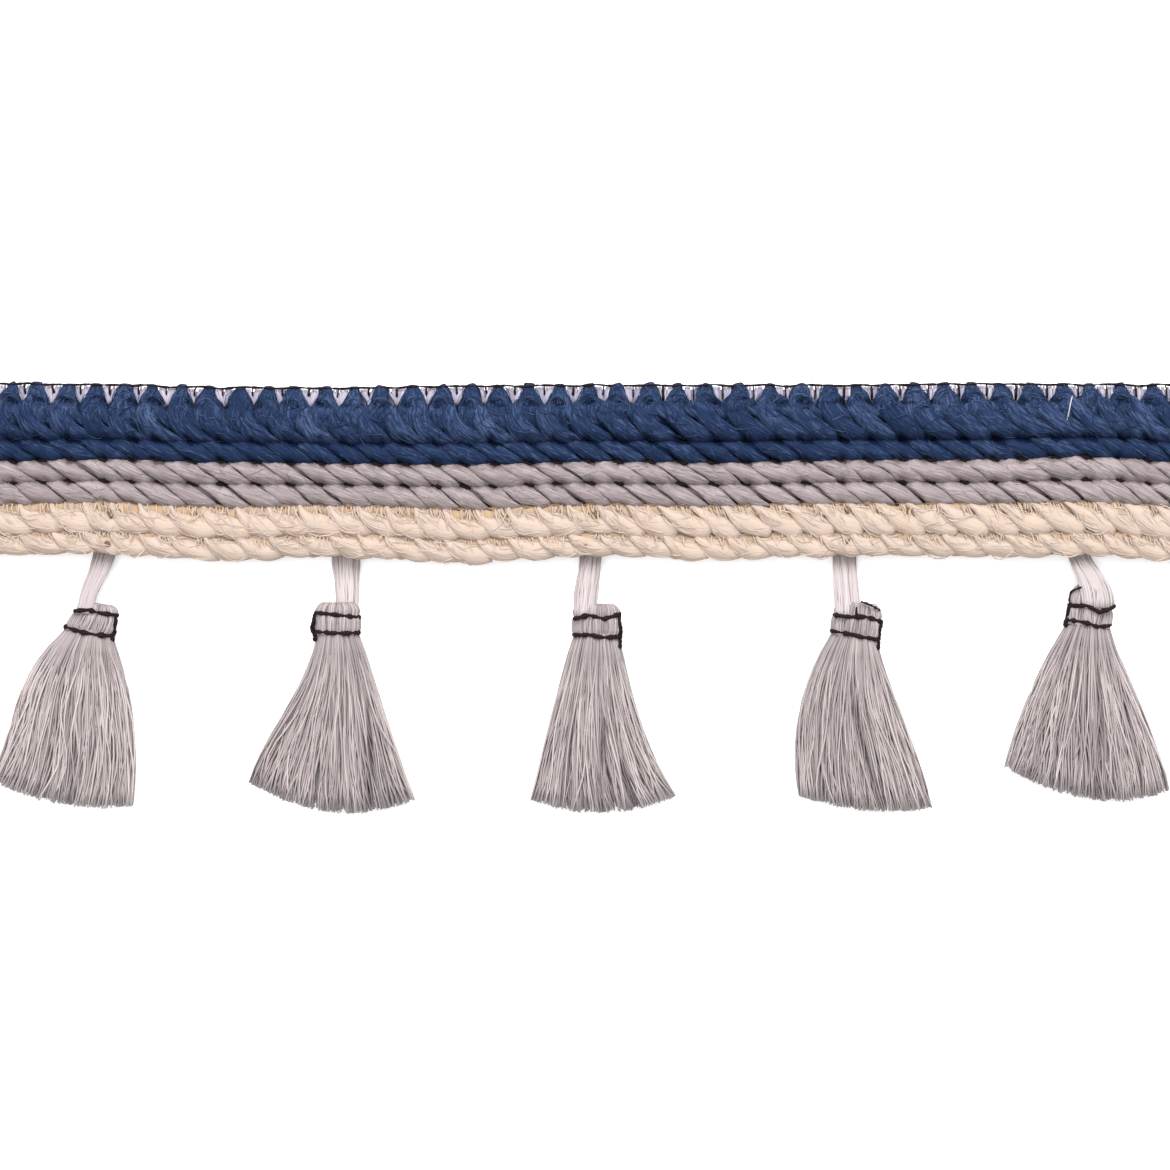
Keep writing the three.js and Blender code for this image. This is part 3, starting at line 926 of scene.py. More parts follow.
@dataclass
class DomeRow(StrandRow):
    """The top row: slanting strands like the others', and domes of roving over their tops, one a stitch.

    A dome comes over the edge narrow, swells and dips under its neighbours' strands; a ridge of the same
    roving turns in a hairpin round it. Both are smooth curves through their courses' points.
    """

    body: Course = Course(  # fmt: skip
        (
            (0.0, 29.72, 0.8), (0.0, 28.95, 1.7), (0.0, 27.7, 2.8), (0.0, 26.5, 3.2), (0.1, 25.4, 3.25),
            (0.6, 24.3, 3.05), (1.6, 23.4, 2.4),
        ),
        (0.78, 1.02, 1.48, 1.97, 2.05, 1.6, 0.9),
        flatness=0.55,
        steps=16,
        unevenness=0.08,
        tone=0.5,
    )
    ridge: Course = Course(  # fmt: skip
        (
            (-1.1, 24.6, 3.55), (-1.25, 25.9, 3.75), (-1.0, 27.0, 3.5), (-0.4, 27.85, 3.3),
            (0.4, 27.85, 3.3), (1.0, 27.0, 3.5), (1.3, 25.9, 3.75), (1.9, 24.7, 3.75), (3.2, 23.7, 3.3),
        ),
        (0.35, 0.5, 0.5, 0.42, 0.42, 0.5, 0.55, 0.6, 0.4),
        flatness=0.85,
        steps=24,
        unevenness=0.16,
        # a little lighter than the body's: painted highlight on the rim, lit from above
        tone=0.55,
    )
    shoulder: float = 28.8  # y from which the domes on the right half are drawn up by three tenths
    fibres_a_dome: int = 38

    def dome_tubes(self, skins: Skins, course: Course, seed: int) -> Array:
        """Adds one tube of every dome, each a little different from the next.

        Args:
            skins: Where they go.
            course: The tube's course.
            seed: Of this course's own unevenness.

        Returns:
            The tubes' rings.
        """
        rng = np.random.default_rng(self.seed + seed)
        middles = DOMES.places(1, 1)
        table = np.concatenate([np.asarray(course.points), np.asarray(course.widths)[:, None]], axis=1)
        points = np.repeat(table[None], len(middles), 0)
        points[..., :2] += rng.normal(0.0, 0.1, points.shape[:2] + (2,))
        points[..., 2] += rng.normal(0.0, course.unevenness, (len(middles), 1))
        points[..., 3] *= 1.0 + rng.normal(0.0, 0.07, points.shape[:2])
        points[..., 0] += middles[:, None]
        squat = 1.0 - 0.3 * rightness(middles)[:, None]
        level = self.shoulder - (self.shoulder - points[..., 1]) * squat
        points[..., 1] = WANDER.place(points[..., 0], np.maximum(level, points[..., 1]))
        curve = spline(points, course.steps)
        wide = curve[..., 3]
        high = wide * course.flatness
        return self.tubes(skins, rng, curve[..., :3], wide, high, course.tone, DOME_CREASE, DOME_SHADOW)

    def bodies(self, skins: Skins) -> list[tuple[Array, int]]:
        """Adds the strands, the domes and their ridges.

        Args:
            skins: Where they go.

        Returns:
            As for any row.
        """
        found = super().bodies(skins)
        found.append((self.dome_tubes(skins, self.body, 1), self.fibres_a_dome))
        found.append((self.dome_tubes(skins, self.ridge, 2), self.fibres_a_strand))
        return found


@dataclass
class GroundTape:
    """The narrow warp-knitted tape behind the rows: a flat section with rounded edges, ribbed by its wales.

    Its face and back are y from bottom to top at z = thickness and z = 0, lowered by rib * (1 - |sin|)
    between wales.
    """

    node: str = "ground_tape"
    top: float = 29.2
    bottom: float = 7.7
    wales: int = 21
    rib: float = 0.16
    flat_width: float = 0.0225  # metres, along the ribs' rise and fall

    def build(self) -> None:
        """Builds the tape as one sheet that stands for the CAD's tape."""
        start, end = heading_span()
        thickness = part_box(self.node)[1][2] / MM
        x = np.linspace(start, end, 2 * STITCHES + 1)[:, None]
        share = np.linspace(0.0, 1.0, self.wales * 4 + 1)
        ribbed = self.rib * (1.0 - np.abs(np.sin(np.pi * self.wales * share)))
        purl = 0.5 + 0.5 * np.cos(2.0 * np.pi * x / HOLES.pitch)
        dip = ribbed * (0.7 + 0.3 * purl)
        across = np.broadcast_to(x, dip.shape)
        plan = WANDER.place(across, self.bottom + (self.top - self.bottom) * share)
        face, back = joined(across, plan, thickness - dip), joined(across, plan, dip)
        rings = np.concatenate([face, back[:, ::-1]], axis=1)[None]
        tape = Skins()
        tape.add_rings(rings, rings, 0.5)
        piece = tape.hand_over("ground_tape_knit", GROUND_YARN, self.node)


@dataclass
class EdgeStitches:
    """What shows between the domes: white ground threads, black stitches and the black edge thread.

    On the left half of the length the white threads meet in a V; on the right half they run side by side.
    """

    node: str = "edge_thread"
    edge: float = 29.72  # y of the edge thread
    top: float = 29.5  # y where the white threads start
    depth: float = 2.3  # how far down they reach, mm
    # A white thread's share of the depth down and its level, and the threads' shares of half a notch.
    corners: Pairs = ((0.0, 0.9), (0.35, 1.75), (0.7, 1.9), (1.0, 1.6))
    places: Floats = (-0.3, -0.6, -0.9, 0.3, 0.6, 0.9)
    # One stray white fibre that lies on the domes.
    stray: tuple[Vector, ...] = ((67.3, 28.3, 3.4), (66.8, 27.6, 4.9), (66.6, 26.2, 5.2), (66.3, 24.6, 4.6))

    def notches(self) -> tuple[Array, Array]:
        """Finds the notches between the domes.

        Returns:
            Their middles, and how straight each one's threads run, from 0 to 1.
        """
        domes = DOMES.places()
        gaps = 0.5 * (domes[1:] + domes[:-1])
        return gaps, rightness(gaps)

    def ground_threads(self, skins: Skins) -> None:
        """Adds the white threads of every notch as short cubic curves.

        Args:
            skins: Where they go.
        """
        rng = np.random.default_rng(11)
        gaps, straight = self.notches()
        count = len(gaps)
        top_y = WANDER.place(gaps, self.top)
        for place in self.places:
            top_x = gaps + place * 1.25 + rng.normal(0.0, 0.08, count)
            low_x = gaps + place * mix(0.2, 1.1, straight) + rng.normal(0.0, 0.06, count)
            depth = self.depth * (1.0 + rng.normal(0.0, 0.1, count))
            sideways = (top_x, top_x, low_x, low_x)
            corners = [joined(x, top_y - down * depth, z) for x, (down, z) in zip(sideways, self.corners)]
            shade = shades(rng, 0.5, 0.25, count)
            skins.add(bezier(np.stack(corners, axis=1), 6), rng.uniform(0.17, 0.25, (count, 1)), 6, shade)
        skins.add(bezier(np.array([self.stray]), 9), 0.09, 6, 1.0)

    def black_threads(self, skins: Skins) -> None:
        """Adds the edge thread, looped a little, and the short stitch in the middle of each notch.

        Args:
            skins: Where they go.
        """
        rng = np.random.default_rng(12)
        start, end = heading_span()
        x = np.linspace(start + 0.15, end - 0.15, STITCHES * 8)
        wave = waves(rng, x[None], 0.2)[0]
        path = joined(x, WANDER.place(x, self.edge) + 0.05 * wave, 1.75 + 0.1 * wave)
        skins.add(path[None], 0.16 * (1.0 + 0.2 * waves(rng, x[None], 0.6)), 8, 0.5)
        gaps, straight = self.notches()
        t = np.linspace(0.0, 1.0, 9)
        depth = mix(1.3, 2.0, straight) * (1.0 + rng.normal(0.0, 0.15, len(gaps)))
        lean = rng.normal(0.0, 0.15, len(gaps))
        stitch_x = gaps[:, None] + lean[:, None] * t
        stitch_y = WANDER.place(gaps, self.edge - 0.02)[:, None] - depth[:, None] * t
        paths = joined(stitch_x, stitch_y, 1.1 + 1.1 * np.sin(np.pi * t) ** 0.5)
        radius = rng.uniform(0.08, 0.15, (len(gaps), 1)) * (1.0 + 0.3 * np.abs(np.sin(2.0 * np.pi * t)))
        skins.add(paths, radius, 6, rng.uniform(0.3, 0.7, len(gaps)))

    def build(self) -> None:
        """Builds the white threads and the black ones as two pieces."""
        white, black = Skins(), Skins()
        self.ground_threads(white)
        white.hand_over("notch_ground_threads", GROUND_YARN)
        self.black_threads(black)
        black.hand_over("edge_thread_stitches", BLACK_THREAD, self.node)


@dataclass(frozen=True)
class Join:
    """A sewing line between two rows, and the size of the stitch that shows in each of its holes."""

    line: float  # y when straight
    level: float  # z of the thread in the valley
    thin: float  # radius between the holes
    bold: float  # radius in a hole
    length: float  # half length of what shows in a hole, mm
    slope: float  # its drop over its half length, mm
    veiled: bool = False  # whether roving veils it


@dataclass
class JoinThreads:
    """The black threads that catch the strands down in the valleys between the rows.

    A thread runs along the valley at y = line - slope * s * dash. At each hole, where s = 0, it thickens by
    dash = exp(-s^2), with s the distance along the heading over the length of what shows. The threads are
    partly real stitches and partly painted shade: dark things that darken the valleys and the holes.
    """

    joins: tuple[Join, ...] = (
        Join(22.05, 1.45, 0.08, 0.25, 0.85, 0.2),
        Join(18.95, 2.5, 0.08, 0.4, 0.6, 0.3),
        Join(15.9, 2.4, 0.09, 0.44, 0.75, 0.35),
        Join(12.75, 2.9, 0.02, 0.36, 0.8, 0.15, veiled=True),
    )

    def join_threads(self, rng: Rng, black: Skins, veiled: Skins) -> None:
        """Adds the threads of all joins.

        Args:
            rng: Source of the unevenness.
            black: Where the plain threads go.
            veiled: Where the veiled ones go.
        """
        start, end = heading_span()
        holes = HOLES.places()
        x = np.linspace(start + 0.3, end - 0.3, STITCHES * 8)
        for join in self.joins:
            places = holes + rng.normal(0.0, 0.25, len(holes))
            nearest = np.abs(x[:, None] - places).argmin(axis=1)
            s = (x - places[nearest]) / join.length
            dash = bell(s, 1.0)
            bold = join.bold * (1.0 + rng.normal(0.0, 0.25, len(holes)))[nearest]
            radius = join.thin + np.maximum(bold - join.thin, 0.02) * dash
            y = WANDER.place(x, join.line) - join.slope * s * dash
            path = joined(x, y, join.level + 0.15 * dash)[None]
            skins, shade = (veiled, 0.7) if join.veiled else (black, 0.35)
            skins.add(path, radius, 8, shade, flatness=0.8)

    def catch_stitches(self, rng: Rng, skins: Skins) -> None:
        """Adds three short threads, each a low arch down the cream rows, at every tick.

        Args:
            rng: Source of the unevenness.
            skins: Where they go.
        """
        tick_x, tick_y, length = np.repeat(np.asarray(TICKS), 3, 0).T[:, :, None]
        count, shape = len(tick_x), tick_x.shape
        t = np.linspace(0.0, 1.0, 7)
        tick_x = tick_x + rng.normal(0.0, 0.2, shape)
        tick_y = tick_y + rng.normal(0.0, 0.15, shape)
        length = length * rng.uniform(0.6, 1.1, shape)
        lean = rng.normal(0.2, 0.5, shape)
        level = 3.1 + 0.95 * np.sin(np.pi * t) ** 0.6 + rng.normal(0.0, 0.1, shape)
        paths = joined(tick_x + lean * (t - 0.5), tick_y + length * (0.5 - t), level)
        radius = rng.uniform(0.1, 0.2, shape) * (1.0 + 0.3 * waves(rng, even(count, len(t)), 2.0))
        skins.add(paths, radius, 6, rng.uniform(0.1, 0.5, count))

    def build(self) -> None:
        """Builds the black join threads as one piece, and the veiled and catching ones as another."""
        rng = np.random.default_rng(21)
        black, veiled = Skins(), Skins()
        self.join_threads(rng, black, veiled)
        black.hand_over("join_threads", BLACK_THREAD)
        self.catch_stitches(rng, veiled)
        veiled.hand_over("catch_stitches", VEILED_THREAD)


# -------------------------------------------------------------------------------------------------- tassels


@dataclass(frozen=True)
class Head:
    """A tassel's head: its middle between the ties, its tilt, its width and its cap's rise, in mm.

    The creases between its columns of folded yarn are given as shares of its half width. Each tie is drawn
    up or down into the columns by the amounts given at -1, -1/3, 1/3 and 1 of the half width, in mm down.
    """

    x: float
    y: float
    tilt: float  # degrees, positive with the right side lower
    width: float
    cap: float
    creases: Floats
    upper: Floats
    lower: Floats
    flare: Pair = (0.0, 0.0)  # how far the left and right side stand out at the lower tie


@dataclass(frozen=True)
class Loop:
    """A hanging loop: where it leaves the heading and enters the head, and how wide it is at each."""

    x: float
    foot: float
    spread: float
    foot_spread: float
    over: float = 0.0  # 1 if it lies over the cap's front
    parted: float = 0.0  # 1 if its two legs hang quite apart
    yarns: int = 38
    tone: float = 0.95  # shade of its middle yarns


@dataclass(frozen=True)
class Skirt:
    """A skirt: how far each edge has moved sideways at thirds of its length, and how low the hem hangs."""

    left_edge: Vector
    right_edge: Vector
    left: float  # mm from the lower tie to the hem at the left edge
    middle: float
    right: float


@dataclass(frozen=True)
class Seam:
    """The thread that closes the roll: its side, its length below the lower tie, and how far it bulges."""

    side: Side
    tail: float
    bulge: float = 0.0


@dataclass
class Tassel:
    """One tassel: a rolled strip of yarn, bound by two ties over a skirt of loose ends, on its own loop."""

    number: int
    head: Head
    loop: Loop
    skirt: Skirt
    seam: Seam
    threads: tuple[Pairs, ...] = ()  # further stitches: share across and mm down
    partings: tuple[Floats, ...] = ()  # shares down and across at each one's start and end
    tone: float = 0.5  # mean shade of the skirt
    tie_half: float = 1.25  # distance of each tie from the head's middle, mm
    head_level: float = 2.95
    head_half_height: float = 2.15
    neck: float = 0.6
    skirt_height: float = 5.3
    hem_height: float = 4.2
    widest: float = 0.35  # height of the skirt's waist, as a share of its crest
    yarns: int = 830
    locks: tuple[Vector, ...] = ((0.055, 3.1, 0.0), (0.035, 6.7, 2.0))  # reach, cycles across, cycles up
    lumps: Floats = (4.3, 7.9)  # cycles across
    crossing: float = 0.14  # share of the yarns that cross the others
    lowest: float = 0.17  # levels that the skirt's yarns keep between, mm
    highest: float = 5.45
    share_below: float = 0.2  # of the yarns, in the underside
    squeeze: float = 0.88  # of the yarns' section where they enter the head
    crossing_drift: Pair = (0.04, 0.17)  # spread sideways of the other yarns and of those that cross
    radius: Pair = (0.1, 0.16)  # of a skirt yarn, mm
    folded_yarns: int = 96  # round the head
    girth_waves: Pair = (9.0, 23.0)  # cycles of its flutes round the head
    tie_radius: float = 0.24
    bend: float = 6.9  # y where every loop bends back behind the lowest row

    @property
    def name(self) -> str:
        """The start of the names of this tassel's nodes and pieces."""
        return f"tassel_{self.number}"

    def rng(self, what: int) -> Rng:
        """A seeded source of randomness for one kind of thing on this tassel."""
        return np.random.default_rng(100 * self.number + what)

    def head_point(self, share: Array | float, down: Array | float) -> tuple[Array, Array]:
        """The place at a share of the head's half width to the right, and a distance down from its middle.

        Args:
            share: From -1 at the left side to 1 at the right.
            down: Distance in mm down the head's own axis.

        Returns:
            X and Y.
        """
        tilt = math.radians(self.head.tilt)
        left, right = self.head.flare
        flare = mix(-left, right, (1.0 + share) / 2.0) * np.clip(down / self.tie_half, -1.3, 1.3)
        across = share * self.head.width / 2.0 + flare
        x = self.head.x + math.cos(tilt) * across - math.sin(tilt) * down
        y = self.head.y - math.sin(tilt) * across - math.cos(tilt) * down
        return x, y

    def skirt_point(self, share: Array, along: Array) -> tuple[Array, Array]:
        """The place at a share across the skirt and a share of the way from the neck to the hem.

        Each edge moves sideways through its movements p, q and r at a = 1/3, 2/3 and 1, along the cubic
        a(27(a - 2/3)(a - 1)p - 27(a - 1/3)(a - 1)q + 9(a - 1/3)(a - 2/3)r)/2.

        Args:
            share: From -1 at the left edge to 1 at the right.
            along: From 0 at the neck to 1 at the hem.

        Returns:
            X and Y.
        """
        skirt = self.skirt
        start_x, start_y = self.head_point(share, self.tie_half + self.neck)
        first, second = along - 1.0 / 3.0, along - 2.0 / 3.0
        terms = (27.0 * second * (along - 1.0), -27.0 * first * (along - 1.0), 9.0 * first * second)
        left = 0.5 * along * sum(term * moved for term, moved in zip(terms, skirt.left_edge))
        right = 0.5 * along * sum(term * moved for term, moved in zip(terms, skirt.right_edge))
        x = start_x + mix(left, right, (1.0 + share) / 2.0)
        slope = (skirt.right - skirt.left) / 2.0
        sag = (skirt.right + skirt.left) / 2.0 - skirt.middle
        _, tie_y = self.head_point(0.0, self.tie_half)
        hem = tie_y - (skirt.middle + slope * share + sag * share**2)
        return x, mix(start_y, hem, along)

    def skirt_level(self, rise: Array, along: Array) -> Array:
        """The height at a rise from -1, the underside, to 1, the crest: half ovals, one on the other.

        Args:
            rise: The rise of each yarn.
            along: From 0 at the neck to 1 at the hem.

        Returns:
            Z in mm.
        """
        height = mix(self.skirt_height, self.hem_height, along)
        waist = self.widest * height
        over = waist + (height - waist) * rise
        under = waist * (1.0 - np.minimum(1.0, -1.5 * rise))
        return np.where(rise > 0.0, over, under)

    def skirt_yarns(self, skins: Skins) -> None:
        """Adds the loose ends: paths at (share, rise) = q (cos p, sin p) of the section, drawn into locks.

        Args:
            skins: Where they go.
        """
        rng = self.rng(1)
        count, steps = self.yarns, 11
        along = np.linspace(0.0, 1.0, steps)[None]
        angle = rng.uniform(0.0, np.pi, count)
        angle = np.where(rng.random(count) < self.share_below, -angle, angle)
        q = np.sqrt(rng.uniform(0.4, 1.0, count))
        order, up = q * np.cos(angle), q * np.sin(angle)
        rise = up[:, None]
        lock, lump = np.zeros(count), np.zeros(count)
        for reach, cycles, upward in self.locks:
            lock += reach * np.sin(2.0 * np.pi * (cycles * order + upward * up + rng.random()))
        for cycles in self.lumps:
            lump += np.sin(2.0 * np.pi * (cycles * order + rng.random()))
        near_drift, far_drift = self.crossing_drift
        drift = rng.normal(0.0, near_drift, count)
        crossing = rng.random(count) < self.crossing
        drift = np.where(crossing, rng.normal(0.0, far_drift, count), drift)
        share = order[:, None] + along * (lock + drift)[:, None]
        share = share + 0.032 * waves(rng, even(count, steps), 1.1) * smooth(4.0 * along)
        share = np.clip(share, -1.0, 1.0)
        short = np.abs(rng.normal(0.0, 0.012, count)) + 0.04 * (rng.random(count) < 0.06) + 0.06 * (1.0 - q)
        run = along * (1.0 - short)[:, None]
        x, y = self.skirt_point(share, run)
        x[:, 0], y[:, 0] = self.head_point(self.squeeze * order, self.tie_half - 0.25)
        level = self.skirt_level(np.broadcast_to(rise, run.shape), run)
        level[:, 0] = self.head_level + self.squeeze * self.head_half_height * up
        level = level + np.where(crossing, 0.25, 0.0)[:, None] * np.sin(np.pi * along)
        level = level + 0.22 * waves(rng, even(count, steps), 1.1) * smooth(3.0 * along)
        level = level + 0.22 * (lump * np.clip(up, 0.0, 1.0))[:, None] * smooth(2.0 * along)
        level = np.clip(level, self.lowest, self.highest)
        radius = rng.uniform(*self.radius, count)[:, None] * (1.0 - 0.15 * along**8)
        tone = self.tone + 2.0 * lock + 0.08 * lump + np.where(crossing, 0.25, 0.0)
        shade = shades(rng, tone, 0.2, count)
        # Painted shade: more on the inner yarns and near the neck, less towards the hem, more in the
        # partings.
        painted_lit = np.clip(2.6 * (q - 0.58) + 0.1 * lump, 0.3, 1.0)[:, None] * (0.6 + 0.4 * smooth(3.0 * run))
        painted_lit = mix(painted_lit, 1.0, 0.6 * smooth(5.0 * run - 4.0))
        for begin, at_begin, end, at_end in self.partings:
            along_it = np.clip((run - begin) / (end - begin), -0.3, 1.0)
            near = bell(share - mix(at_begin, at_end, along_it), 0.055)
            near = near * smooth(5.0 * along_it + 0.5) * (rise > 0.0)
            level = level - 0.9 * near
            painted_lit = painted_lit * (1.0 - 0.5 * near)
        paths = joined(x, y, np.maximum(level, self.lowest))
        skins.add(paths, radius, 4, shade, painted_light=np.repeat(painted_lit[..., None], 4, 2))

    def head_section(self, angle: Array, down: Array) -> tuple[Array, Array, Array]:
        """The head's surface: an oval of half width w g and half height h g at each distance down its axis.

        The girth g rises round the cap, is 1 between the ties, dips to 0.9 under each tie and to 0.88 in
        the creases between the columns of folded yarn.

        Args:
            angle: Round the oval, 0 at the right side and a quarter turn at the crest.
            down: Distance down from the middle between the ties.

        Returns:
            X, Y and Z.
        """
        half = self.tie_half
        top = -half - self.head.cap
        climb = np.clip((down - top) / self.head.cap, 0.0, 1.0)
        girth = 0.55 + 0.45 * np.sqrt(1.0 - (1.0 - climb) ** 2)
        for tie in (-half, half):
            girth = girth * (1.0 - 0.1 * bell(down - tie, 0.35))
        phases = self.rng(2).random(2) * 2.0 * np.pi
        rounds = [np.cos(cycles * angle + phase) for cycles, phase in zip(self.girth_waves, phases)]
        girth = girth * (1.0 + 0.012 * sum(rounds))
        for crease in self.head.creases:
            girth = girth * (1.0 - 0.2 * bell(np.cos(angle) - crease, 0.09) * (np.sin(angle) > 0.0))
        x, y = self.head_point(girth * np.cos(angle), down)
        level = self.head_level + self.head_half_height * girth * np.sin(angle)
        return x, y, level

    def head_yarns(self, skins: Skins) -> None:
        """Adds the head: a closed fluted body, and the folded yarns that run down it side by side.

        Args:
            skins: Where they go.
        """
        rng = self.rng(3)
        count, steps = self.folded_yarns, 14
        top = -self.tie_half - self.head.cap
        end = self.tie_half + 0.25
        angle = np.linspace(0.0, 2.0 * np.pi, 48, endpoint=False)
        grid_down, grid_angle = np.meshgrid(np.linspace(top, end, 22), angle, indexing="ij")
        body = np.stack(self.head_section(grid_angle, grid_down), -1)[None, ::-1]
        # The body under the folded yarns takes half the painted shade, as the shade between them.
        skins.add_rings(body, body, 0.35, np.full(body.shape[:3], 0.5))
        start = np.arange(count) / count * 2.0 * np.pi + rng.normal(0.0, 0.02, count)
        sway = start[:, None] + 0.02 * waves(rng, even(count, steps), 1.0)
        paths = np.stack(self.head_section(sway, np.linspace(top + 0.05, end, steps)), -1)
        radius = rng.uniform(0.13, 0.2, count)[:, None]
        tilt = math.radians(self.head.tilt)
        outward = (math.sin(tilt) * 0.3, math.cos(tilt) * 0.3, 0.95)
        skins.add(paths, radius, 4, shades(rng, 0.36, 0.2, count), up=outward)

    def tie_path(self, down: float, shifts: Floats, points: int, lift: float) -> Array:
        """A thread wound once round the head, from the back and round.

        Args:
            down: Distance down from the middle between the ties.
            shifts: How far it is drawn down at shares of the half width, as in Head.
            points: Points along it.
            lift: How far it stands off the head's oval.

        Returns:
            A path, shape (points, 3).
        """
        angle = -0.5 * np.pi + np.linspace(0.0, 2.08 * np.pi, points)
        drawn = np.interp(np.cos(angle), np.linspace(-1.0, 1.0, len(shifts)), shifts)
        wobble = 0.05 * waves(self.rng(4), angle[None] / 3.0, 1.0)[0]
        pressed = np.ones(points)
        for crease in self.head.creases:
            pressed = pressed - 0.07 * bell(np.cos(angle) - crease, 0.12) * (np.sin(angle) > 0.0)
        across = (0.93 + lift / (self.head.width / 2.0)) * pressed * np.cos(angle)
        x, y = self.head_point(across, down + drawn + wobble)
        rise = (self.head_half_height * 0.93 + lift) * pressed * np.sin(angle)
        return joined(x, y, self.head_level + rise)

    def ties(self, skins: Skins, rng: Rng) -> None:
        """Adds both ties: lumpy threads, the upper one lifted over a loop that lies in front.

        Args:
            skins: Where they go.
            rng: Source of the unevenness.
        """
        tilt = math.radians(self.head.tilt)
        axis = (-math.sin(tilt), -math.cos(tilt), 0.0)
        half = self.tie_half
        run = np.linspace(0.0, 1.0, 120)
        for down, shifts in ((-half, self.head.upper), (half, self.head.lower)):
            path = self.tie_path(down, shifts, len(run), 0.12)[None]
            if down < 0.0 and self.loop.over:
                beside = (path[..., 0] - self.loop.foot) / (0.5 * self.loop.foot_spread + 0.6)
                above = self.head_level + self.head_half_height * self.loop.over + 0.4
                near = np.exp(-(beside**6)) * (path[..., 2] > self.head_level)
                path[..., 2] += near * np.maximum(above - path[..., 2], 0.0)
            lumps = 1.0 + 0.3 * np.abs(np.sin(np.pi * 17.0 * run)) + 0.25 * waves(rng, run[None], 9.0)[0]
            skins.add(path, self.tie_radius * lumps, 8, 0.45, up=axis)

    def stitches(self, skins: Skins, rng: Rng) -> None:
        """Adds the seam thread down the head's side, which thickens to its end, and the further stitches.

        Args:
            skins: Where they go.
            rng: Source of the unevenness.
        """
        half = self.tie_half
        run = np.linspace(0.0, 1.0, 30)
        bulge = self.seam.bulge * np.sin(np.pi * np.clip(run * 1.1, 0.0, 1.0))
        bulge = bulge + 0.05 * waves(rng, run[None], 2.0)[0]
        share = self.seam.side.value * (1.0 + bulge / (self.head.width / 2.0))
        x, y = self.head_point(share, mix(-half - 0.2, half + self.seam.tail, run))
        level = self.head_level + 0.4 * np.sin(2.0 * np.pi * run) + 0.5
        radius = (0.2 + 0.14 * run) * (1.0 + 0.3 * np.abs(np.sin(np.pi * 7.0 * run)))
        skins.add(joined(x, y, level)[None], radius, 8, 0.35)
        for course in self.threads:
            share, down = spline(np.asarray(course)[None], 16)[0].T
            x, y = self.head_point(share, down)
            oval = np.sqrt(np.clip(1.02 - share**2, 0.05, 1.0))
            level = self.head_level + (self.head_half_height + 0.25) * oval
            skins.add(joined(x, y, level)[None], 0.15 * (1.0 + 0.25 * waves(rng, even(1, 16), 3.0)), 6, 0.4)

    def bindings(self, skins: Skins) -> None:
        """Adds both ties, the seam and the further stitches, on one source of randomness.

        Args:
            skins: Where they go.
        """
        rng = self.rng(5)
        self.ties(skins, rng)
        self.stitches(skins, rng)

    def loop_yarns(self, skins: Skins) -> None:
        """Adds the hanging loop: yarns of each leg as cubic curves from behind the lowest row into the head.

        Args:
            skins: Where they go.
        """
        rng = self.rng(6)
        loop = self.loop
        count, steps = loop.yarns, 13
        half = self.tie_half
        bend_y = WANDER.place(loop.x, self.bend)
        cap_y = self.head.y + half + self.head.cap
        end_y = mix(cap_y - 0.7, self.head.y + half - 0.1, loop.over)
        end_z = self.head_level + self.head_half_height * loop.over
        across = np.linspace(-1.0, 1.0, count) + rng.normal(0.0, 0.04, count)
        gathered = np.sign(across) * np.abs(across) ** mix(1.0, 0.6, loop.parted)
        deep = 0.35 * rng.uniform(-1.0, 1.0, count)
        top_x = loop.x + gathered * (loop.spread * 0.5 + 0.45)
        low_x = loop.foot + gathered * loop.foot_spread * 0.5
        rest = 0.65 + 0.8 * deep
        foot = end_z + deep * mix(1.2, 0.5, loop.over)
        corners = (
            joined(top_x - 0.1 * gathered, bend_y, rest),
            joined(top_x, bend_y - 3.4, rest),
            joined(low_x, cap_y + 1.8, mix(rest, foot, mix(0.5, 1.0, loop.over))),
            joined(low_x, end_y, foot),
        )
        paths = bezier(np.stack(corners, axis=1), steps)
        paths[..., 0] += 0.07 * waves(rng, even(count, steps), 1.2)
        radius = rng.uniform(0.15, 0.21, count)[:, None]
        # The yarns towards the loop's outer edges are darker: painted shade where the bundle turns away.
        skins.add(paths, radius, 6, shades(rng, loop.tone - 0.5 * np.abs(across) ** 2, 0.15, count))

    def build(self) -> None:
        """Builds the tassel's yarns, bindings and loop as three pieces, each for a node of its own."""
        for piece, node, finish, makers in (
            ("ends", "yarns", TASSEL_YARN, (self.skirt_yarns, self.head_yarns)),
            ("ties", "binding", BLACK_THREAD, (self.bindings,)),
            ("hanger", "loop", LOOP_YARN, (self.loop_yarns,)),
        ):
            skins = Skins()
            for add in makers:
                add(skins)
            skins.hand_over(f"{self.name}_{piece}", finish, f"{self.name}_{node}")


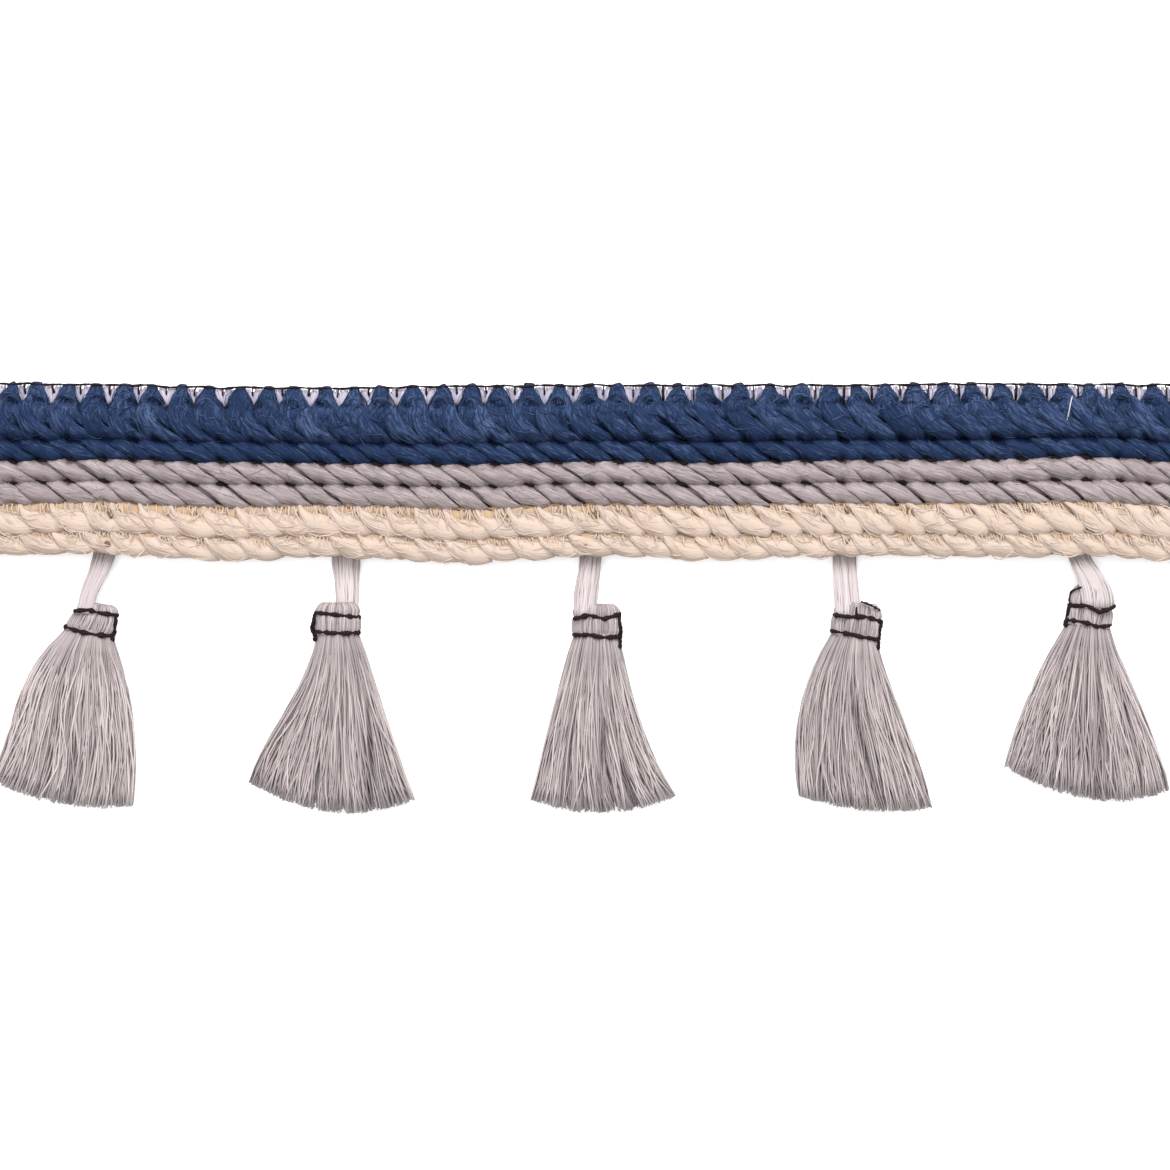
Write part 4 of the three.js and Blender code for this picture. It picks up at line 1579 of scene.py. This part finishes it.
TASSELS = (
    Tassel(
        1,
        Head(
            -69.4, -3.4, 8.0, 6.4, 1.4,
            (-0.36, 0.2), (0.1, -0.5, -0.3, -0.2), (-0.05, 0.15, 0.25, 0.3), flare=(0.55, -0.1),
        ),
        Loop(-67.8, -70.2, 2.2, 1.9, over=0.9, tone=0.7),
        Skirt((-5.3, -7.6, -10.4), (2.2, 3.0, 2.6), 20.9, 24.2, 24.6),
        Seam(Side.RIGHT, 0.9),
        partings=((0.6, 0.07, 1.0, 0.12),),
        tone=0.62,
    ),
    Tassel(
        2,
        Head(-35.2, -3.6, 0.0, 6.1, 1.7, (-0.52, 0.06), (-0.27, -0.1, 0.1, 0.29), (-0.12, 0.0, 0.02, -0.12)),
        Loop(-34.2, -33.9, 2.8, 2.9, parted=0.2, tone=1.15),
        Skirt((-2.4, -6.3, -9.4), (2.4, 4.9, 7.6), 21.1, 25.1, 23.6),
        Seam(Side.LEFT, 1.1, 0.4),
        partings=((0.36, 0.74, 0.97, 0.48),),
    ),
    Tassel(
        3,
        Head(0.9, -3.9, 1.0, 6.55, 1.8, (-0.19, 0.41), (0.33, -0.35, 0.2, -0.48), (0.07, -0.1, 0.25, 0.22)),
        Loop(0.2, -0.7, 2.0, 2.7, over=0.8, tone=0.75),
        Skirt((-2.07, -3.97, -5.85), (1.65, 4.05, 7.9), 23.2, 24.9, 22.7),
        Seam(Side.RIGHT, 1.8),
        (((0.85, -1.6), (1.02, -1.85), (0.98, -1.45), (0.85, -1.7)),),
        ((0.75, 0.42, 1.0, 0.48), (0.4, 0.3, 0.8, 0.0)),
    ),
    Tassel(
        4,
        Head(
            37.1, -4.0, 9.0, 6.65, 2.2,
            (-0.6, -0.04, 0.48), (0.05, 0.1, -0.2, 0.08), (-0.23, -0.05, 0.2, 0.1),
        ),
        Loop(35.6, 35.8, 2.2, 3.2, over=0.8, parted=0.2),
        Skirt((-3.36, -4.72, -4.18), (2.5, 5.35, 7.7), 22.6, 24.5, 24.2),
        Seam(Side.RIGHT, 1.4),
        (((-0.02, -3.55), (0.3, -3.35), (0.6, -3.05), (0.86, -2.75)), ((-0.17, -2.7), (-0.1, -1.3))),
        ((0.3, -0.02, 0.95, 0.26),),
    ),
    Tassel(
        5,
        Head(69.7, -2.5, 7.0, 6.2, 2.8, (-0.53, 0.47), (0.15, -0.1, 0.6, -0.5), (-0.43, -0.25, 0.1, -0.37)),
        Loop(68.4, 70.6, 1.9, 4.1, over=1.0),
        Skirt((-3.62, -6.39, -8.4), (3.13, 6.2, 8.3), 20.0, 24.4, 23.4),
        Seam(Side.LEFT, 0.6),
        (((-1.0, -1.6), (-0.98, -3.0), (-0.62, -3.8)),),
        ((0.3, 0.22, 1.0, 0.1),),
    ),
)  # fmt: skip


# ---------------------------------------------------------------------------------------------------- stage


@dataclass
class Stage:
    """A lit white table with soft light from beyond the heading's top edge, and a camera straight above."""

    middle: Pair = (-0.7, 1.8)  # mm
    distance: float = 453.4  # mm over the level that it aims at
    aim_level: float = 3.0
    lens: float = 100.0  # mm
    sensor: float = 36.0  # mm wide
    table_half: float = 3.0  # metres
    table_drop: float = 0.0002  # metres under the trim
    glow: float = 0.2  # of the lit table itself
    sky: float = 0.8  # strength of the fill from all round
    lights: tuple[tuple[str, Vector, float, float], ...] = (  # name, place and side in metres, watts
        ("key_softbox", (0.15, 1.1, 1.2), 1.1, 42.0),
        ("top_softbox", (-0.3, 0.1, 1.6), 1.4, 20.0),
    )

    def camera(self) -> None:
        """Makes the camera, which looks straight down with +Y up in its view."""
        data = bpy.data.cameras.new("camera")
        data.lens, data.sensor_width = self.lens, self.sensor
        data.clip_start, data.clip_end = 0.01, 10.0
        x, y = self.middle
        place = (x * MM, y * MM, (self.distance + self.aim_level) * MM)
        bpy.context.scene.camera = add_object("camera", data, place)

    def light(self, name: str, place: Vector, size: float, power: float) -> None:
        """Makes one soft square light that faces the middle of the trim.

        Args:
            name: Its name.
            place: Where it hangs, in metres.
            size: Its side in metres.
            power: In watts.
        """
        data = bpy.data.lights.new(name, "AREA")
        data.shape, data.size, data.energy = "SQUARE", size, power
        x, y, z = place
        made = add_object(name, data, place)
        made.rotation_euler = (math.atan2(math.hypot(x, y), z), 0.0, math.atan2(x, -y))

    def table(self) -> None:
        """Makes the white table under the trim, lit a little from within so that shadows stay faint."""
        far = self.table_half
        mesh = bpy.data.meshes.new("table")
        corners = [(-far, -far, 0.0), (far, -far, 0.0), (far, far, 0.0), (-far, far, 0.0)]
        mesh.from_pydata(corners, [], [(0, 1, 2, 3)])
        panel = bpy.data.materials.new("matt_white_lit_panel")
        panel.use_nodes = True
        looks = {"Base Color": linear("F7F7F7"), "Roughness": 0.9, "Specular IOR Level": 0.1}
        shine = {"Emission Color": linear("FFFFFF"), "Emission Strength": self.glow}
        set_sockets(panel.node_tree.nodes["Principled BSDF"], {**looks, **shine})
        mesh.materials.append(panel)
        add_object("table", mesh, (0.0, 0.0, -self.table_drop))

    def build(self) -> None:
        """Makes the camera, the lights, the sky fill and the table."""
        self.camera()
        for light in self.lights:
            self.light(*light)
        world = bpy.data.worlds.new("studio")
        world.use_nodes = True
        set_sockets(world.node_tree.nodes["Background"], {"Color": linear("F4F6FA"), "Strength": self.sky})
        bpy.context.scene.world = world
        bpy.context.scene.view_settings.view_transform = "Standard"
        self.table()


# Courses of a strand's centre line and profiles of its width, as StrandRow takes them.
SLANT = ((-0.32, -0.27), (0.28, 0.15), (0.72, 0.85), (1.32, 1.27))
SWEEP = ((0.0, 0.05), (0.0, 0.55), (0.35, 0.95), (1.4, 1.2))
TUFT = ((-0.15, -0.05), (0.0, 0.4), (0.42, 0.78), (1.35, 0.72))
LOW_TUFT = ((-0.15, -0.05), (0.0, 0.38), (0.4, 0.82), (1.35, 0.72))
EVEN = (1.0, 1.0, 1.0, 1.0, 1.0)
SWELLING = (0.22, 0.32, 0.6, 0.9, 1.0, 0.95, 0.7)
SWEEP_FLAT = ((-0.1, 0.0), (0.2, 0.4), (0.8, 0.85), (1.6, 1.1))
TUFT_FLAT = ((-0.3, -0.05), (0.1, 0.2), (0.55, 0.72), (1.35, 0.82))
# What the rows of each make share.
NAVY = {"finish": NAVY_ROVING, "thickness": 1.0, "flutes": 0.09}
GREY = {
    "course": SLANT, "profile": EVEN, "thickness": 0.95, "finish": GREY_CORD, "stray": 0.1, "flutes": 0.1,
    "crease": (-0.15, 0.35), "pit": 1.2, "fibres_a_strand": 10, "squareness": 0.5, "lay": 0.3,
}  # fmt: skip
CREAM = {
    "profile": SWELLING, "finish": CREAM_ROVING, "fluff": 0.3, "stray": 0.15, "flutes": 0.07, "roll": 1.2,
    "fibres_a_strand": 18, "veil": 16, "squareness": 1.1, "fibre_radius": (0.05, 0.1), "ribbon": 0.25,
}  # fmt: skip
HEADING_ROWS = (
    DomeRow(
        "navy_dome_row", 27.2, 22.05, SWEEP, (0.7, 0.9, 1.0, 1.0, 1.0, 0.85, 0.6), 1.4, seed=31, fluff=0.22,
        stray=0.25, dips=(0.0, 0.9), sinks=(0.5, 0.0), core=2.0, pit=2.2, fibres_a_strand=17,
        right_course=SWEEP_FLAT, **NAVY,
    ),
    StrandRow(
        "navy_rope", 22.05, 18.95, SLANT, EVEN, 1.3, seed=32, fluff=0.07, stray=0.08, pit=2.0,
        fibres_a_strand=16, lay=0.15, tone=0.4, **NAVY,
    ),
    StrandRow("grey_rope_upper", 18.95, 15.9, belly=1.3, seed=33, **GREY),
    StrandRow("grey_rope_lower", 15.9, 12.5, belly=1.28, seed=34, **GREY),
    StrandRow(
        "cream_rope_upper", 12.6, 8.3, TUFT, belly=1.52, thickness=0.8, seed=35, crease=(-0.9, -0.2),
        dips=(0.4, 0.1), sinks=(0.5, 0.3), core=2.05, core_level=1.05, run_painted_light=0.0, pit=0.5,
        shadow=(3.0, 1.5), right_course=TUFT_FLAT, **CREAM,
    ),
    StrandRow(
        "cream_rope_lower", 8.65, 5.5, LOW_TUFT, belly=1.2, thickness=0.85, seed=36, crease=(-2.0, -1.0),
        dips=(0.4, 0.0), sinks=(0.5, 0.5), core=1.85, core_level=1.3, run_painted_light=0.1, pit=0.4,
        shadow=(3.6, 1.7), **CREAM,
    ),
)  # fmt: skip


def main() -> None:
    """Builds the stage, the heading and the tassels in order."""
    logging.basicConfig(level=logging.INFO, format="%(message)s")
    for part in (Stage(), GroundTape(), *HEADING_ROWS, EdgeStitches(), JoinThreads(), *TASSELS):
        part.build()


if __name__ == "__main__":
    main()
